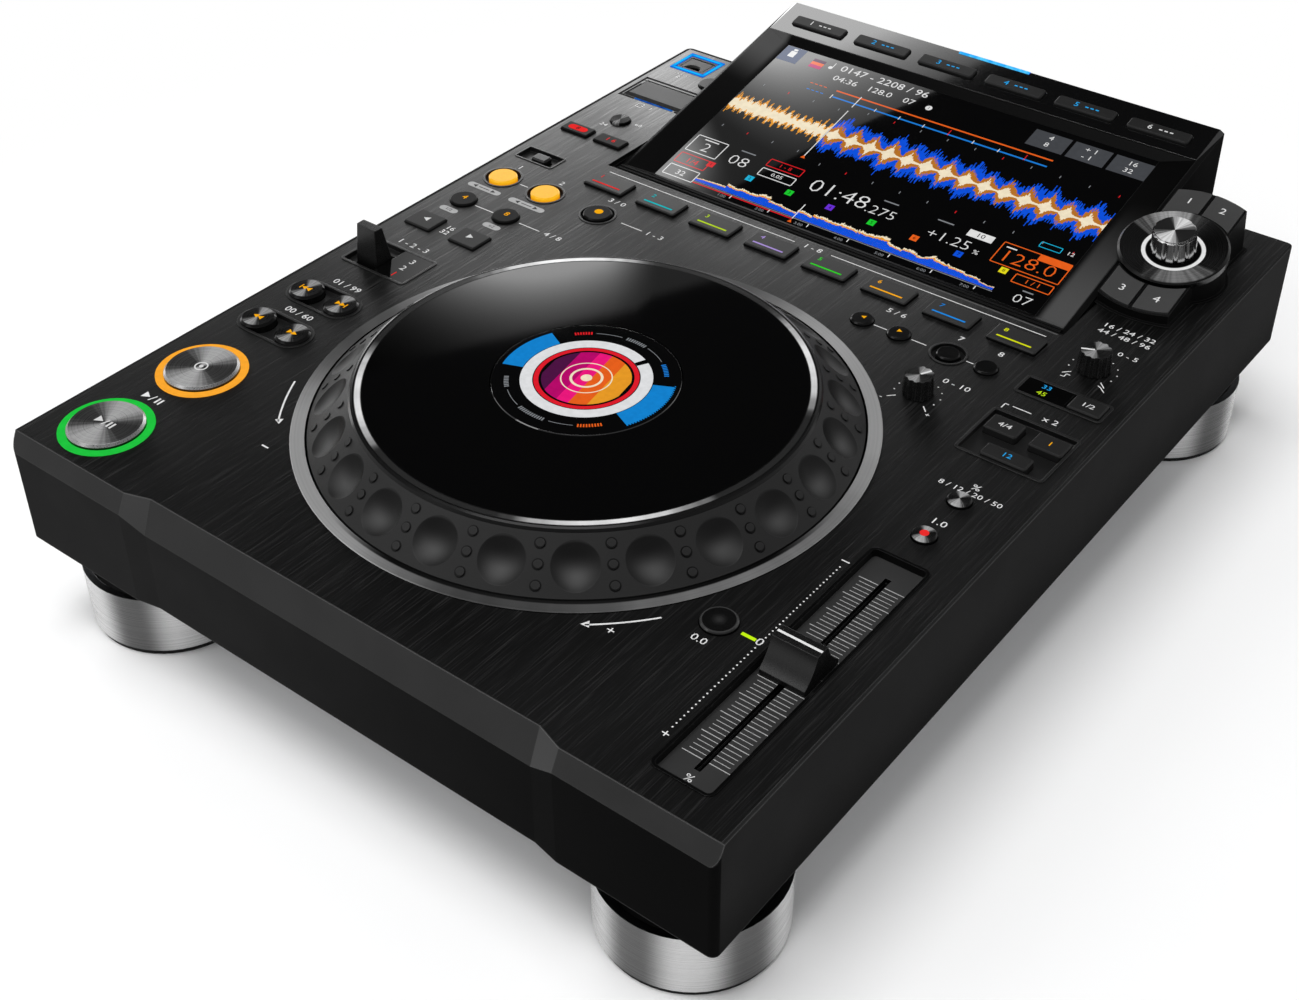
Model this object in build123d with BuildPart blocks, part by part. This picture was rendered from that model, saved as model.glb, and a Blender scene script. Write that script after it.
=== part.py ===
"""Tabletop DJ media player: jog wheel, tempo slider, hot cue pads and a tilted touch screen.

Units are millimetres. The origin is on the desk under the middle of the player, +Z is up and
-Y faces the performer. Most places are given in the panel plane: x from the middle, y back
from the front face, z up from the top of the panel.
"""
import os
from math import atan2, cos, degrees, radians, sin, tan

from build123d import *

os.makedirs("parts", exist_ok=True)

# ---- driving dimensions: body ------------------------------------------------------------
width = 329.0
overall_depth = 449.0
body_depth = 425.0
panel_height = 88.0
skirt_height = 48.5
side_wall = 3.0
front_wall = 4.0
corner_round = 3.0
panel_thickness = 2.0
panel_border = 1.5
sheet = 1.5
seat_gap = 0.1
running_gap = 0.3

# front bevel: the outer wings and the middle part that is set back
wing_bevel_depth = 4.0
wing_bevel_drop = 7.7
middle_setback = 2.0
middle_bevel_depth = 5.5
middle_bevel_drop = 13.3
wing_width = 62.5
wing_slant = 10.5

wing_start = width / 2 - wing_width
middle_half_width = wing_start - wing_slant

panel = Plane(origin=(0, -overall_depth / 2, panel_height))

# ---- driving dimensions: jog wheel -------------------------------------------------------
jog_y = 141.7
key_column_width = 52.9
jog_ring_width = 5.5
jog_ring_outer = width / 2 - key_column_width
jog_ring_inner = jog_ring_outer - jog_ring_width
jog_ring_top = 0.8
dial_gap = 0.9
dial_cone_width = 16.6
dial_base_radius = jog_ring_inner - dial_gap
dial_top_radius = dial_base_radius - dial_cone_width
dial_top = 15.6
dial_skirt_drop = 6.0
dial_wall = 3.0
dimple_count = 24
dimple_radius = 9.0
dimple_depth = 2.2
dimple_phase = 7.2
stud_radius = 1.6
stud_height = 0.45
stud_spacing = 5.4
dial_band_width = 5.2
platter_radius = dial_top_radius - dial_band_width
platter_top = 17.0
platter_thickness = 2.0
display_radius = 36.0
display_thickness = 2.0
display_overhang = 3.0
post_radius = display_radius - display_overhang
bearing_wall = 3.9
bearing_fit = 0.05

# ---- driving dimensions: keys ------------------------------------------------------------
key_travel = 0.8
key_flange = 1.2
flange_thickness = 1.0
switch_top = 9.0
switch_height = 3.0
switch_side = 6.0
board_thickness = 1.6
key_round = 0.5

column_inset = 25.9
left_column_x = -(width / 2 - column_inset)
right_column_x = width / 2 - column_inset

play_key_place = (left_column_x, 25.7)
cue_key_place = (left_column_x, 72.3)
play_key_radius = 14.8
play_key_top = 2.2
light_ring_width = 3.0
light_ring_top = 0.4

search_y = 110.9
track_search_y = 137.8
search_key_radius = 7.4
search_key_pitch = 20.2
search_key_top = 1.6

loop_key_y = 261.0
loop_in_x = left_column_x - 10.1
loop_out_x = left_column_x + 15.3
reloop_x = loop_out_x + 30.8
loop_key_radius = 6.6
loop_rim_radius = 9.2
loop_key_top = 1.2
reloop_rim_radius = 8.6

beat_loop_y = 234.4
beat_loop_x = (left_column_x - 10.2, left_column_x + 15.0)
beat_loop_radius = 6.2
beat_jump_y = 210.2
beat_jump_x = (left_column_x - 10.8, left_column_x + 15.5)
beat_jump_size = (15.2, 12.4)

edit_key_y = 318.0
edit_key_x = (left_column_x - 12.5, left_column_x + 7.6)
edit_key_size = (16.2, 8.2)
time_key_place = (left_column_x - 2.4, 338.0)
time_key_radius = 5.1
usb_stop_place = (left_column_x + 9.1, 395.9)
usb_stop_radius = 6.0

pad_y = 285.2
pad_count = 8
pad_row_margin = 44.5
pad_pitch = 2 * (width / 2 - pad_row_margin) / pad_count
pad_size = (pad_pitch - 8.2, 12.0)
pad_top = 1.5

call_key_y = 260.4
call_key_x = (right_column_x - 91.2, right_column_x - 73.7)
memory_key_x = (right_column_x - 50.7, right_column_x - 33.7)
call_key_radius = 4.9
delete_rim_radius = 7.9

tempo_range_y = 181.7
master_tempo_y = 157.4
tempo_key_radius = 4.6
tempo_reset_place = (right_column_x - 30.9, 78.9)
tempo_reset_radius = 6.7

low_key_top = 1.2

# ---- driving dimensions: bezels and levers ------------------------------------------------
bezel_rim = 1.2
bezel_lip = 0.3
bezel_floor = 3.0
search_bezel_size = (37.4, 17.6)
direction_bezel_center = (left_column_x, 176.1)
direction_bezel_size = (37.0, 22.4)
direction_window_left = left_column_x + 0.4
lever_center = (left_column_x - 6.6, 174.0)
lever_base = (12.4, 9.3)
lever_tip = (11.1, 4.4)
lever_top = 16.5
lever_pivot_drop = 8.0
lever_pin_radius = 1.5
lever_pin_length = 16.0

call_slot_center = (left_column_x - 9.0, 286.0)
call_slot_size = (22.6, 12.0)
call_lever_center = (call_slot_center[0] + 1.0, 285.6)
call_lever_size = (8.4, 6.0)
call_lever_top = 0.8

mode_bezel_center = (right_column_x + 0.2, 260.5)
mode_bezel_size = (37.0, 13.2)
mode_key_center = (mode_bezel_center[0] + 10.2, 260.5)
mode_key_size = (13.6, 9.6)
sync_bezel_center = (right_column_x + 0.1, 224.3)
sync_bezel_size = (37.2, 31.6)
beat_sync_center = (sync_bezel_center[0] - 8.7, 230.2)
master_center = (sync_bezel_center[0] + 10.3, 230.2)
key_sync_center = (sync_bezel_center[0] + 0.9, 214.2)
sync_key_size = (13.6, 9.6)
key_sync_size = (19.0, 7.8)

# ---- driving dimensions: knobs -----------------------------------------------------------
jog_knob_place = (right_column_x - 46.3, 229.8)
jog_knob_radius = 5.7
jog_knob_top = 8.9
speed_knob_place = (right_column_x + 0.2, 285.4)
speed_knob_radius = 6.2
speed_knob_top = 9.4
knob_lift = 0.4
knob_taper = 0.6
flute_count = 12
knob_shaft_radius = 3.0

# ---- driving dimensions: tempo slider ----------------------------------------------------
slider_x = right_column_x + 0.6
slider_y = 79.0
tray_size = (23.8, 127.4)
tray_round = 3.0
tray_rim = 1.2
tray_floor = 3.0
tray_floor_thickness = 2.0
slot_width = 2.4
slider_travel = 100.0
cap_size = (17.6, 19.4)
cap_ridge_width = 6.0
cap_ridge_top = 9.4
cap_lift = 0.5
cap_stem = (1.6, 8.0)
fader_width = 12.0
fader_height = 6.4
fader_wall = 1.2

# ---- driving dimensions: screen hump -----------------------------------------------------
hump_side_margin = 48.0
hump_half_width = width / 2 - hump_side_margin
hump_cutout_half = hump_half_width + 1.5
hump_front = 299.6
screen_tilt = 12.85
screen_line_y = 308.9
screen_line_z = -1.9
hump_under = 14.0
hump_wall = 2.5
hump_edge_width = 2.2
hump_edge_drop = 1.3
flange_level = 2.1
bezel_side_margin = 2.2
bezel_half_width = hump_half_width - bezel_side_margin
bezel_start = -1.3
bezel_end = 119.5
bezel_thickness = 3.6
lit_side_margin = 14.7
lit_size = (2 * (bezel_half_width - lit_side_margin), 112.0)
lit_drop = 2.3
lit_start = 2.2
lcd_thickness = 5.0
strip_end_margin = 25.0
strip_key_pitch = 2 * (hump_half_width - strip_end_margin) / 5
strip_key_size = (strip_key_pitch - 7.0, 7.0)
strip_key_v = 130.2
strip_key_top = 1.4
light_bar_length = 38.0
light_bar_width = 1.6

# ---- driving dimensions: selector pod ----------------------------------------------------
pod_v = 59.4
pod_size = (31.6, 73.0)
pod_x = hump_half_width + 0.5 + pod_size[0] / 2
pod_bulge = 3.4
pod_top = 2.2
pod_key_top = 3.2
pod_key_margin = 0.9
pod_key_gap = 1.8
pod_wall = 1.6
pod_hub_radius = 22.0
selector_ring_outer = 23.0
selector_ring_inner = 13.2
selector_ring_top = 5.0
selector_ring_bottom = 1.2
selector_dish = 2.0
selector_light_top = 2.8
selector_knob_radius = 9.6
selector_knob_tip = 8.8
selector_knob_top = 13.8
pod_rim = 1.5
pod_depth = 9.0

# ---- driving dimensions: media bay -------------------------------------------------------
sd_bay_x = (-(width / 2 - 5.2), -(hump_cutout_half + 1.0))
sd_bay_y = (361.9, 382.7)
usb_bay_center = (left_column_x - 9.7, 410.4)
usb_light_size = (21.2, 19.6)
usb_bay_size = (16.8, 14.2)
door_thickness = 1.6
door_gap = 0.4
door_pin_radius = 0.8
bay_depth = 16.0
bay_wall = 1.4
thumb_notch = 4.6
sd_light_x = (sd_bay_x[0] + 8.6, sd_bay_x[1] - 8.4)
sd_light_width = 0.9

# ---- driving dimensions: feet and inside -------------------------------------------------
foot_x = width / 2 - 35.0
foot_front_y = 36.0
foot_rear_y = 389.0
foot_radius = 33.8
foot_shell_wall = 2.8
foot_shell_bottom = 2.0
foot_shell_height = 26.5
foot_neck_radius = 21.0
foot_rim_drop = 1.5

board_y = (12.0, 295.0)
board_half_width = width / 2 - side_wall - 1.1
jog_clearance = 2.0
post_base_radius = 60.0
post_base_level = 22.0
post_base_thickness = 3.0
post_leg_radius = 5.0
post_leg_circle = 50.0
supply_size = (86.0, 110.0, 26.0)
supply_center = (width / 2 - 56.5, 340.0)
main_board_x = (-(width / 2 - 14.5), supply_center[0] - supply_size[0] / 2 - 25.0)
main_board_y = (206.0, 406.0)
standoff_height = 6.0
standoff_radius = 3.0

# ---- values worked out from the driving dimensions ----------------------------------------
def middle(span):
    """The middle of a (low, high) span."""
    return (span[0] + span[1]) / 2


def length(span):
    """The length of a (low, high) span."""
    return span[1] - span[0]


hole_fit = running_gap
board_top = switch_top + switch_height
flange_top = panel_thickness + 0.2
stem_bottom = switch_top - key_travel - 0.1
tilt = radians(screen_tilt)
screen_origin = panel.from_local_coords((0, screen_line_y, screen_line_z))
screen = Plane(origin=screen_origin, x_dir=(1, 0, 0), z_dir=(0, -sin(tilt), cos(tilt)))
rear_v = (overall_depth - screen_line_y) / cos(tilt)
pad_places = [((index - (pad_count - 1) / 2) * pad_pitch, pad_y) for index in range(pad_count)]
main_board_center = (middle(main_board_x), middle(main_board_y))
main_board_size = (length(main_board_x), length(main_board_y))
foot_places = [(side * foot_x, y) for side in (-1, 1) for y in (foot_front_y, foot_rear_y)]


def write(piece, name):
    """Label a finished piece and write it as its own STEP file."""
    piece.part.label = name
    export_step(piece.part, f"parts/{name}.step")


# ---- front bevel cutter ------------------------------------------------------------------
def front_section(setback, bevel_depth, bevel_drop):
    """Outline, across the player, of what the bevelled front takes off the plain block."""
    with BuildLine() as outline:
        Polyline(
            (-5, -skirt_height - 5),
            (setback, -skirt_height - 5),
            (setback, -bevel_drop),
            (setback + bevel_depth, 0),
            (setback + bevel_depth + 1, 5),
            (-5, 5),
            close=True,
        )
    make_face(outline.edges())


def across(x):
    """Plane across the player at x, with its x along the depth and its y up."""
    return Plane(origin=panel.from_local_coords((x, 0, 0)), x_dir=(0, 1, 0), z_dir=(1, 0, 0))


with BuildPart() as front_cutter:
    for side in (-1, 1):
        with BuildSketch(across(side * (width / 2 + 2))):
            front_section(0, wing_bevel_depth, wing_bevel_drop)
        with BuildSketch(across(side * wing_start)):
            front_section(0, wing_bevel_depth, wing_bevel_drop)
        loft(ruled=True)
        with BuildSketch(across(side * wing_start)):
            front_section(0, wing_bevel_depth, wing_bevel_drop)
        with BuildSketch(across(side * middle_half_width)):
            front_section(middle_setback, middle_bevel_depth, middle_bevel_drop)
        loft(ruled=True)
    with BuildSketch(across(-middle_half_width)):
        front_section(middle_setback, middle_bevel_depth, middle_bevel_drop)
    extrude(amount=2 * middle_half_width)


# ---- selector pod outline, drawn in the tilted screen plane --------------------------------
def pod_face(margin):
    """The pod seen square on: a bar with bowed ends and a round hub, grown by margin."""
    half_width = pod_size[0] / 2 + margin
    half_length = pod_size[1] / 2 + margin
    with BuildLine() as outline:
        for end in (-1, 1):
            ThreePointArc(
                (pod_x - half_width, pod_v + end * half_length),
                (pod_x, pod_v + end * (half_length + pod_bulge)),
                (pod_x + half_width, pod_v + end * half_length),
            )
        for end in (-1, 1):
            Line(
                (pod_x + end * half_width, pod_v - half_length),
                (pod_x + end * half_width, pod_v + half_length),
            )
    make_face(outline.edges())


def pod_face_with_hub(margin):
    """The pod's outline joined with its round hub, kept clear of the screen hump."""
    pod_face(margin)
    with Locations((pod_x, pod_v)):
        Circle(pod_hub_radius + margin)
    with Locations((pod_x - pod_size[0] / 2 - min(margin, running_gap), pod_v)):
        Rectangle(60, 200, align=(Align.MAX, Align.CENTER), mode=Mode.SUBTRACT)


with BuildPart() as pod_clearance:
    with BuildSketch(screen.offset(pod_top)):
        pod_face_with_hub(running_gap)
    extrude(amount=-60)


# ---- key shapes: (place list, size) sketches on the panel -----------------------------------
def round_spots(places, radius):
    """Circles of one radius at every place."""
    with Locations(*places):
        Circle(radius)


def square_spots(places, size, extra=0.0, rounding=1.0):
    """Rounded rectangles of one size, grown by extra all round, at every place."""
    with Locations(*places):
        RectangleRounded(size[0] + 2 * extra, size[1] + 2 * extra, rounding + extra)


def build_keys(plane, places, outline, top, under, edge, stem):
    """Sprung keys: a cap through its hole, a wider flange under it and a stem to the switch."""
    with BuildSketch(plane.offset(-under)) as cap:
        outline(places, 0.0)
    extrude(cap.sketch, amount=under + top)
    cap_tops = faces(Select.LAST).group_by(Axis(plane.origin, plane.z_dir))[-1]
    chamfer(cap_tops.edges(), edge)
    with BuildSketch(plane.offset(-under)) as flange:
        outline(places, key_flange)
    extrude(flange.sketch, amount=-flange_thickness)
    with BuildSketch(plane.offset(-under - flange_thickness)) as key_stem:
        round_spots(places, stem)
    extrude(key_stem.sketch, amount=-(stem_bottom - under - flange_thickness))


def round_keys(places, radius, top, under=flange_top, edge=key_round):
    """Round keys in the panel plane."""
    build_keys(panel, places, lambda spots, extra: round_spots(spots, radius + extra), top, under, edge, 2.0)


def square_keys(places, size, top, under=flange_top, edge=key_round):
    """Rectangular keys in the panel plane."""
    build_keys(panel, places, lambda spots, extra: square_spots(spots, size, extra), top, under, edge, 2.0)


recess_under = bezel_floor + 0.2
search_places = [(left_column_x + side * search_key_pitch / 2, search_y) for side in (-1, 1)]
track_places = [(left_column_x + side * search_key_pitch / 2, track_search_y) for side in (-1, 1)]
beat_loop_places = [(x, beat_loop_y) for x in beat_loop_x]
beat_jump_places = [(x, beat_jump_y) for x in beat_jump_x]
edit_places = [(x, edit_key_y) for x in edit_key_x]
call_places = [(x, call_key_y) for x in call_key_x] + [(memory_key_x[1], call_key_y)]
delete_place = (memory_key_x[0], call_key_y)
loop_in_place = (loop_in_x, loop_key_y)
loop_out_place = (loop_out_x, loop_key_y)
reloop_place = (reloop_x, loop_key_y)
range_place = (right_column_x, tempo_range_y)
master_tempo_place = (right_column_x, master_tempo_y)
light_ring_radius = play_key_radius + running_gap + light_ring_width
sd_center = (middle(sd_bay_x), middle(sd_bay_y))
sd_size = (length(sd_bay_x), length(sd_bay_y))
tempo_light_place = (slider_x - 19.7, slider_y)
tempo_light_size = (5.5, 1.2)
sd_light_place = (middle(sd_light_x), sd_bay_y[0] - sd_light_width / 2)
sd_light_size = (length(sd_light_x), sd_light_width)
board_stud_places = [(side * (board_half_width - 1.1), y) for side in (-1, 1) for y in (55.0, 152.0, 197.0)]
board_stud_places += [(-30.0, 268.0), (30.0, 268.0)]
board_stud_places += [(left_column_x + 14.6, 388.0), (left_column_x + 14.6, 344.0)]
board_stud_radius = 1.5


# ---- case shell --------------------------------------------------------------------------
def panel_outline(gap):
    """The top panel's outline, pulled in by gap from the case's border all round."""
    side_x = width / 2 - panel_border - gap
    rear_y = body_depth - panel_border - gap
    wing_y = wing_bevel_depth + running_gap + gap
    middle_y = middle_setback + middle_bevel_depth + running_gap + gap
    with BuildLine() as outline:
        Polyline(
            (-side_x, wing_y),
            (-wing_start, wing_y),
            (-middle_half_width, middle_y),
            (middle_half_width, middle_y),
            (wing_start, wing_y),
            (side_x, wing_y),
            (side_x, rear_y),
            (-side_x, rear_y),
            close=True,
        )
    make_face(outline.edges())


inner_half_width = width / 2 - side_wall
inner_front = middle_setback + front_wall
inner_rear = body_depth - side_wall
rear_window_half = width / 2 - 14.5
rear_window_level = -27.0
rear_window_height = 34.0
upright_half = inner_half_width - 6.5
upright_height = 39.0
screw_places = [(side * (inner_half_width - 3.5), y) for side in (-1, 1) for y in (90.0, 200.0, 320.0)]

with BuildPart() as case_shell:
    with BuildSketch(panel.offset(-skirt_height)):
        with Locations((0, body_depth / 2)):
            RectangleRounded(width, body_depth, corner_round)
    extrude(amount=skirt_height)
    with BuildSketch(panel):
        panel_outline(0)
    extrude(amount=-panel_thickness, mode=Mode.SUBTRACT)
    with BuildSketch(panel.offset(-skirt_height)):
        with Locations((0, (inner_front + inner_rear) / 2)):
            Rectangle(2 * inner_half_width, inner_rear - inner_front)
    extrude(amount=skirt_height - board_top - 6, mode=Mode.SUBTRACT)
    with BuildSketch(panel.offset(-board_top - 6)):
        with Locations((0, (inner_front + 5 + inner_rear) / 2)):
            Rectangle(2 * inner_half_width, inner_rear - inner_front - 5)
    extrude(amount=board_top + 6, mode=Mode.SUBTRACT)
    with BuildSketch(panel.offset(-skirt_height + sheet)):
        round_spots(screw_places, 4.0)
    extrude(amount=skirt_height - sheet - 18)
    with BuildSketch(panel.offset(-skirt_height + sheet)):
        round_spots(screw_places, 1.6)
    extrude(amount=12, mode=Mode.SUBTRACT)
    add(front_cutter.part, mode=Mode.SUBTRACT)
    # relief in the front ledge behind the play key's lit ring
    with BuildSketch(panel.offset(-board_top)):
        round_spots([play_key_place], light_ring_radius + running_gap)
    extrude(amount=board_top, mode=Mode.SUBTRACT)
    # notch in the rear wall that the screen hump passes over
    with BuildSketch(panel.offset(-flange_level - 0.2)):
        with Locations((0, body_depth)):
            Rectangle(2 * hump_half_width + 0.4, 20)
    extrude(amount=20, mode=Mode.SUBTRACT)
    # window in the rear wall for the sockets
    with BuildSketch(across(-rear_window_half)):
        with Locations((body_depth, rear_window_level)):
            Rectangle(20, rear_window_height)
    extrude(amount=2 * rear_window_half, mode=Mode.SUBTRACT)
write(case_shell, "case_shell")

# ---- top panel ---------------------------------------------------------------------------
with BuildPart() as top_panel:
    with BuildSketch(panel):
        panel_outline(seat_gap)
    extrude(amount=-panel_thickness)
    with BuildSketch(panel):
        with Locations((0, hump_front)):
            Rectangle(2 * hump_cutout_half, 200, align=(Align.CENTER, Align.MIN))
        with Locations((0, jog_y)):
            Circle(jog_ring_inner + 2.1)
        with Locations((slider_x, slider_y)):
            RectangleRounded(tray_size[0] + 0.2, tray_size[1] + 0.2, tray_round)
        with Locations((left_column_x, search_y), (left_column_x, track_search_y)):
            SlotOverall(search_bezel_size[0] + 0.2, search_bezel_size[1] + 0.2)
        square_spots([direction_bezel_center], direction_bezel_size, 0.1, 2.0)
        square_spots([mode_bezel_center], mode_bezel_size, 0.1, 2.0)
        square_spots([sync_bezel_center], sync_bezel_size, 0.1, 2.0)
        square_spots([call_slot_center], call_slot_size, 0.1, 1.5)
        round_spots([play_key_place, cue_key_place], light_ring_radius + 0.1)
        round_spots([loop_in_place, loop_out_place], loop_rim_radius + 0.1)
        round_spots([reloop_place], reloop_rim_radius + 0.1)
        round_spots([delete_place], delete_rim_radius + 0.1)
        round_spots(beat_loop_places, beat_loop_radius + hole_fit)
        square_spots(beat_jump_places, beat_jump_size, hole_fit)
        square_spots(edit_places, edit_key_size, hole_fit)
        round_spots([time_key_place], time_key_radius + hole_fit)
        round_spots([usb_stop_place], usb_stop_radius + hole_fit)
        square_spots(pad_places, pad_size, hole_fit)
        round_spots(call_places, call_key_radius + hole_fit)
        round_spots([range_place, master_tempo_place], tempo_key_radius + hole_fit)
        round_spots([tempo_reset_place], tempo_reset_radius + hole_fit)
        round_spots([jog_knob_place, speed_knob_place], knob_shaft_radius + hole_fit)
        square_spots([sd_center], sd_size, 0.1, 0.6)
        square_spots([usb_bay_center], usb_light_size, 0.1, 0.6)
        with Locations(sd_light_place):
            Rectangle(sd_light_size[0] + 0.1, sd_light_size[1] + 0.1)
        with Locations(tempo_light_place):
            Rectangle(tempo_light_size[0] + 0.1, tempo_light_size[1] + 0.1)
    extrude(amount=-panel_thickness, mode=Mode.SUBTRACT)
    add(pod_clearance.part, mode=Mode.SUBTRACT)
    # studs that carry the key board
    with BuildSketch(panel.offset(-panel_thickness)):
        round_spots(board_stud_places, board_stud_radius)
    extrude(amount=-(board_top - panel_thickness))
write(top_panel, "top_panel")

# ---- chassis plate: floor and rear upright in one folded sheet ----------------------------
inlet_x = width / 2 - 52.5
power_key_x = inlet_x - 32.0
lan_x = -(width / 2 - 48.5)
usb_b_x = lan_x + 24.0
jack_x = (lan_x + 54.0, lan_x + 70.0, lan_x + 92.0)
socket_level = -28.0
inlet_body = (27.0, 19.8)
inlet_flange = (31.0, 24.0)
inlet_mouth = (24.0, 16.4)
inlet_depth = 20.0
lan_body = (16.0, 13.4)
usb_b_body = (12.0, 11.0)
jack_radius = 4.15
jack_flange_radius = 6.5
power_key_radius = 5.0
power_key_reach = 4.2
power_plunger_radius = 2.0
upright_rear = inner_rear - seat_gap
rear_plane_origin = panel.from_local_coords((0, upright_rear, 0))
rear_face = Plane(origin=rear_plane_origin, x_dir=(-1, 0, 0), z_dir=(0, 1, 0))


def at_rear(x):
    """Place on the rear upright for a socket that is x to the right of the middle."""
    return (-x, socket_level)


with BuildPart() as chassis_plate:
    with BuildSketch(panel.offset(-skirt_height)):
        with Locations((0, (inner_front + inner_rear) / 2)):
            Rectangle(2 * (inner_half_width - seat_gap), inner_rear - inner_front - 2 * seat_gap)
    extrude(amount=sheet)
    with BuildSketch(rear_face):
        with Locations((0, -skirt_height)):
            Rectangle(2 * upright_half, upright_height, align=(Align.CENTER, Align.MIN))
    extrude(amount=-sheet)
    with BuildSketch(rear_face):
        with Locations(at_rear(inlet_x)):
            Rectangle(inlet_body[0] + 0.2, inlet_body[1] + 0.2)
        with Locations(at_rear(lan_x)):
            Rectangle(lan_body[0] + 0.2, lan_body[1] + 0.2)
        with Locations(at_rear(usb_b_x)):
            Rectangle(usb_b_body[0] + 0.2, usb_b_body[1] + 0.2)
        with Locations(*[at_rear(x) for x in jack_x]):
            Circle(jack_radius + seat_gap)
        with Locations(at_rear(power_key_x)):
            Circle(power_key_radius + hole_fit)
    extrude(amount=-sheet, mode=Mode.SUBTRACT)
    with BuildSketch(panel.offset(-skirt_height + sheet)):
        with Locations(main_board_center):
            with GridLocations(main_board_size[0] - 16, main_board_size[1] - 16, 2, 2):
                Circle(standoff_radius)
    extrude(amount=standoff_height)
    with BuildSketch(panel.offset(-skirt_height)):
        round_spots(screw_places, 1.7)
    extrude(amount=sheet, mode=Mode.SUBTRACT)
write(chassis_plate, "chassis_plate")

# ---- screws that hold the chassis plate to the case shell ---------------------------------
with BuildPart() as case_screws:
    with BuildSketch(panel.offset(-skirt_height - 1.6)):
        round_spots(screw_places, 3.0)
    extrude(amount=1.6)
    with BuildSketch(panel.offset(-skirt_height)):
        round_spots(screw_places, 1.5)
    extrude(amount=12)
write(case_screws, "case_screws")

# ---- feet --------------------------------------------------------------------------------
desk = panel.offset(-panel_height)
foot_top = panel_height - skirt_height

with BuildPart() as foot_shells:
    with BuildSketch(desk.offset(foot_shell_bottom)):
        round_spots(foot_places, foot_radius)
    extrude(amount=foot_shell_height)
    chamfer(edges().group_by(Axis.Z)[0], 0.6)
    with BuildSketch(desk.offset(foot_shell_bottom)):
        round_spots(foot_places, foot_radius - foot_shell_wall)
    extrude(amount=foot_shell_height, mode=Mode.SUBTRACT)
write(foot_shells, "foot_shells")

with BuildPart() as foot_cores:
    with BuildSketch(desk):
        round_spots(foot_places, foot_radius - 1.0)
    extrude(amount=foot_shell_bottom)
    with BuildSketch(desk.offset(foot_shell_bottom)):
        round_spots(foot_places, foot_radius - foot_shell_wall - seat_gap)
    extrude(amount=foot_shell_height - foot_rim_drop)
    with BuildSketch(desk.offset(foot_shell_bottom)):
        round_spots(foot_places, foot_neck_radius)
    extrude(amount=foot_top - foot_shell_bottom)
write(foot_cores, "foot_cores")

# ---- jog wheel ---------------------------------------------------------------------------
jog_plane = Plane(origin=panel.from_local_coords((0, jog_y, 0)), x_dir=(1, 0, 0), z_dir=(0, -1, 0))
dial_slope = atan2(dial_top - jog_ring_top, dial_base_radius - dial_top_radius)
bearing_outer = post_radius + bearing_wall
web_bottom = platter_top - platter_thickness - dial_wall
post_top = platter_top - display_thickness


def turned(points):
    """Revolve an (r, z) outline about the jog wheel's axis."""
    with BuildSketch(jog_plane) as profile:
        with BuildLine() as outline:
            Polyline(*points, close=True)
        make_face(outline.edges())
    revolve(profile.sketch, axis=Axis(jog_plane.origin, (0, 0, 1)))


with BuildPart() as jog_ring:
    turned([
        (jog_ring_inner, -5.0),
        (jog_ring_inner + 2.0, -5.0),
        (jog_ring_inner + 2.0, 0.02),
        (jog_ring_outer, 0.02),
        (jog_ring_outer, jog_ring_top - 0.3),
        (jog_ring_outer - 0.3, jog_ring_top),
        (jog_ring_inner, jog_ring_top),
    ])
write(jog_ring, "jog_ring")

with BuildPart() as jog_dial:
    turned([
        (bearing_outer + bearing_fit, -10.0),
        (bearing_outer + 4.0, -10.0),
        (bearing_outer + 4.0, web_bottom),
        (dial_top_radius - 6.0, web_bottom),
        (dial_base_radius - dial_wall - 1.0, jog_ring_top - 1.5),
        (dial_base_radius - dial_wall, -dial_skirt_drop),
        (dial_base_radius, -dial_skirt_drop),
        (dial_base_radius, jog_ring_top),
        (dial_top_radius, dial_top),
        (dial_top_radius - 0.8, platter_top - 0.4),
        (dial_top_radius - 1.6, platter_top),
        (platter_radius + seat_gap, platter_top),
        (platter_radius + seat_gap, platter_top - platter_thickness),
        (bearing_outer + bearing_fit, platter_top - platter_thickness),
    ])
    # finger dimples all round the cone, with three small studs between each pair
    cone_middle_radius = (dial_base_radius + dial_top_radius) / 2
    cone_middle_height = (dial_top + jog_ring_top) / 2
    ball_radius = (dimple_radius**2 + dimple_depth**2) / (2 * dimple_depth)
    ball_stand_off = ball_radius - dimple_depth
    ball_r = cone_middle_radius + ball_stand_off * sin(dial_slope)
    ball_z = cone_middle_height + ball_stand_off * cos(dial_slope)
    with Locations(jog_plane.origin):
        with PolarLocations(ball_r, dimple_count, start_angle=dimple_phase):
            with Locations((0, 0, ball_z)):
                Sphere(ball_radius, mode=Mode.SUBTRACT)
        with PolarLocations(0, dimple_count, start_angle=dimple_phase + 180 / dimple_count):
            for step in (-1, 0, 1):
                stud_r = cone_middle_radius + step * stud_spacing
                stud_z = cone_middle_height - step * stud_spacing * tan(dial_slope)
                with Locations(Location((stud_r, 0, stud_z), (0, degrees(dial_slope), 0))):
                    Cylinder(stud_radius, 2 * stud_height)
write(jog_dial, "jog_dial")

with BuildPart() as jog_platter:
    turned([
        (display_radius + running_gap, platter_top - platter_thickness),
        (platter_radius, platter_top - platter_thickness),
        (platter_radius, platter_top),
        (display_radius + running_gap, platter_top),
    ])
write(jog_platter, "jog_platter")

with BuildPart() as jog_bearing:
    turned([
        (post_radius + seat_gap / 2, -12.0),
        (bearing_outer + 4.0, -12.0),
        (bearing_outer + 4.0, -10.2),
        (bearing_outer, -10.2),
        (bearing_outer, 8.0),
        (post_radius + seat_gap / 2, 8.0),
    ])
write(jog_bearing, "jog_bearing")

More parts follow.
